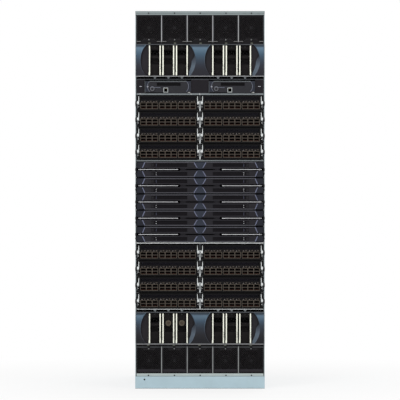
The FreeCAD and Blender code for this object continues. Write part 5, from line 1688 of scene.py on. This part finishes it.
def spines():
    shape = Shape()
    spine_front(shape)
    card_case(shape, SPINE_W, GROOVE_Y, SPINE_PITCH, 190, -183, 6.2, 60, 1.2)
    data = shape.mesh("spine")
    levers = {"left": lever_mesh(-1), "right": lever_mesh(1)}
    for row in range(5):
        node = "spine_%d" % (row + 1)
        z = SPINE_LOW + row * SPINE_PITCH
        put(node + "_module", data, node, (0, FRONT, z), nodes=(node,))
        for name, side in (("left", -1), ("right", 1)):
            lever = "spine_lever_%d_%s" % (row + 1, name)
            put(lever + "_arm", levers[name], lever,
                (side * PIVOT_X, FRONT + PIVOT_Y, z + SPINE_PITCH / 2),
                nodes=(lever,))


# Rear

REAR_SLOT_H = 18
REAR_SLOT_PITCH = 30
REAR_BRIDGE = 23


def rear_holes():
    wide = (2 * WALL_OUT - 3 * REAR_BRIDGE) / 2
    bays = ((FAN_LOW, SHELF_A, 2), (SUPPLY_LOW, LEAF_LOW - SHELF_T, 2), (LEAF_LOW, DECK_A, 4),
            (SPINE_LOW, DECK_B, 4), (LEAF_HIGH, DECK_C, 4), (SUPPLY_HIGH - SHELF_T, SHELF_D, 2),
            (FAN_HIGH, CEILING, 2))
    holes = []
    for z0, z1, rows in bays:
        for row in range(rows):
            z = (z0 + z1) / 2 + (row - (rows - 1) / 2) * REAR_SLOT_PITCH
            for side in (-1, 1):
                x = side * (wide + REAR_BRIDGE) / 2
                holes.append((x - wide / 2, x + wide / 2, z - REAR_SLOT_H / 2,
                              z + REAR_SLOT_H / 2))
    return holes


def rear():
    shape = Shape()
    y0, y1 = rear_low.y, BACK
    holes = rear_holes()
    area = (-WALL_OUT + 0.6, WALL_OUT - 0.6, PLINTH_TOP + 0.6, CEILING - 0.6)
    shape.face_with_holes(area, holes, y1, "rear_paint", (0, 1, 0))
    shape.face_with_holes(area, holes, y0, "rear_paint")
    shape.sleeve(rectangle(*area), [(0, y0), (-0.6, y0 + 0.5), (-0.6, y1 - 0.5), (0, y1)],
                 "rear_paint")
    for hole in holes:
        x0, x1, z0, z1 = hole
        shape.tunnel(rectangle(*hole), y0, y1, "rear_paint")
        shape.perforation((x0 - 3.4, x1 + 3.4, z0 - 3, z1 + 3), 6.6, 1.4, y0 - 0.9,
                          y0 - 0.1, "plated_dark")
    for x in (-WALL_OUT + 9, 0, WALL_OUT - 9):
        for i in range(13):
            z = PLINTH_TOP + 14 + i * (CEILING - PLINTH_TOP - 28) / 12
            if all(not (h[2] - 4 < z < h[3] + 4 and h[0] < x < h[1]) for h in holes):
                shape.screw(x, z, y1 - 1, 2.6, "screw_steel", "hole", 0.9, facing=1)
    put("rear_cover", shape.mesh("rear_cover"), "chassis",
        nodes=("rear_panel",))


def midplane():
    """The boards keep their CAD form and get their own finish."""
    node = frame["nodes"]["midplane"]
    node.data.materials.clear()
    node.data.materials.append(MATERIALS["board_green"])


# Stage, lights, camera

CAMERA_HEIGHT = 643.3
CAMERA_DISTANCE = 9000
VIEW_HEIGHT = 1365
WHITE = (1, 1, 1, 1)


def seen_rays(tree):
    """A node that gives one for camera, glossy and transmission rays, nought for the others."""
    path = node(tree, "LightPath")
    total = path.outputs["Is Camera Ray"]
    for name in ("Is Glossy Ray", "Is Transmission Ray"):
        either = node(tree, "Math")
        either.operation = "MAXIMUM"
        tree.links.new(total, either.inputs[0])
        wire(path, name, either, 1)
        total = either.outputs["Value"]
    return either


def stage():
    floor_mesh = bpy.data.meshes.new("floor")
    size = 30
    floor_mesh.from_pydata([(-size, -size, 0), (size, -size, 0), (size, size, 0),
                            (-size, size, 0)], [], [(0, 1, 2, 3)])
    material = bpy.data.materials.new("floor_white")
    material.use_nodes = True
    tree = material.node_tree
    shader = tree.nodes["Principled BSDF"]
    shader.inputs["Base Color"].default_value = (0.93, 0.93, 0.93, 1)
    shader.inputs["Roughness"].default_value = 0.9
    shader.inputs["Specular IOR Level"].default_value = 0.1
    glow = node(tree, "Emission", Color=WHITE, Strength=1)
    far = node(tree, "VectorMath")
    far.operation = "LENGTH"
    wire(node(tree, "TexCoord"), "Object", far, 0)
    fade = node(tree, "MapRange", From_Min=0.4, From_Max=1.5, To_Min=0.72, To_Max=1)
    wire(far, "Value", fade, "Value")
    share = node(tree, "Math")
    share.operation = "MULTIPLY"
    wire(fade, "Result", share, 0)
    wire(seen_rays(tree), "Value", share, 1)
    mix = node(tree, "MixShader")
    wire(share, "Value", mix, "Fac")
    wire(shader, "BSDF", mix, 1)
    wire(glow, "Emission", mix, 2)
    wire(mix, "Shader", tree.nodes["Material Output"], "Surface")
    floor_mesh.materials.append(material)
    floor = bpy.data.objects.new("floor", floor_mesh)
    bpy.context.scene.collection.objects.link(floor)


def world():
    data = bpy.data.worlds.new("studio")
    bpy.context.scene.world = data
    data.use_nodes = True
    tree = data.node_tree
    tree.nodes.clear()
    lit = node(tree, "Background", Color=WHITE, Strength=0.62)
    seen = node(tree, "Background", Color=WHITE, Strength=1)
    mix = node(tree, "MixShader")
    wire(seen_rays(tree), "Value", mix, "Fac")
    wire(lit, "Background", mix, 1)
    wire(seen, "Background", mix, 2)
    wire(mix, "Shader", node(tree, "OutputWorld"), "Surface")


def lamp(name, place, aim, size, power):
    data = bpy.data.lights.new(name, "AREA")
    data.shape = "RECTANGLE"
    data.size, data.size_y = size
    data.energy = power
    light = bpy.data.objects.new(name, data)
    bpy.context.scene.collection.objects.link(light)
    light.location = place
    light.rotation_euler = (Vector(aim) - Vector(place)).to_track_quat("-Z", "Y").to_euler()


def lights():
    lamp("key", (-1.6, -3.4, 2.9), (0, -0.3, 0.75), (1.6, 1.6), 52)
    lamp("fill", (2.2, -3.4, 1.2), (0, -0.3, 0.6), (1.8, 1.8), 26)
    lamp("rear_soft", (0.8, 3.4, 2.6), (0, 0.3, 0.7), (1.8, 1.8), 40)


def camera():
    data = bpy.data.cameras.new("camera")
    data.sensor_width = 36
    data.lens = 36 * CAMERA_DISTANCE / VIEW_HEIGHT
    data.clip_end = 100
    view = bpy.data.objects.new("camera", data)
    bpy.context.scene.collection.objects.link(view)
    view.location = (0, (FRONT - CAMERA_DISTANCE) * MM, CAMERA_HEIGHT * MM)
    view.rotation_euler = (math.pi / 2, 0, 0)
    bpy.context.scene.camera = view


cabinet()
card_cage()
bezels()
fans()
supplies()
management()
leafs()
spines()
rear()
midplane()
stage()
world()
lights()
camera()
bpy.context.scene.view_settings.view_transform = "Standard"

bpy.context.view_layer.update()
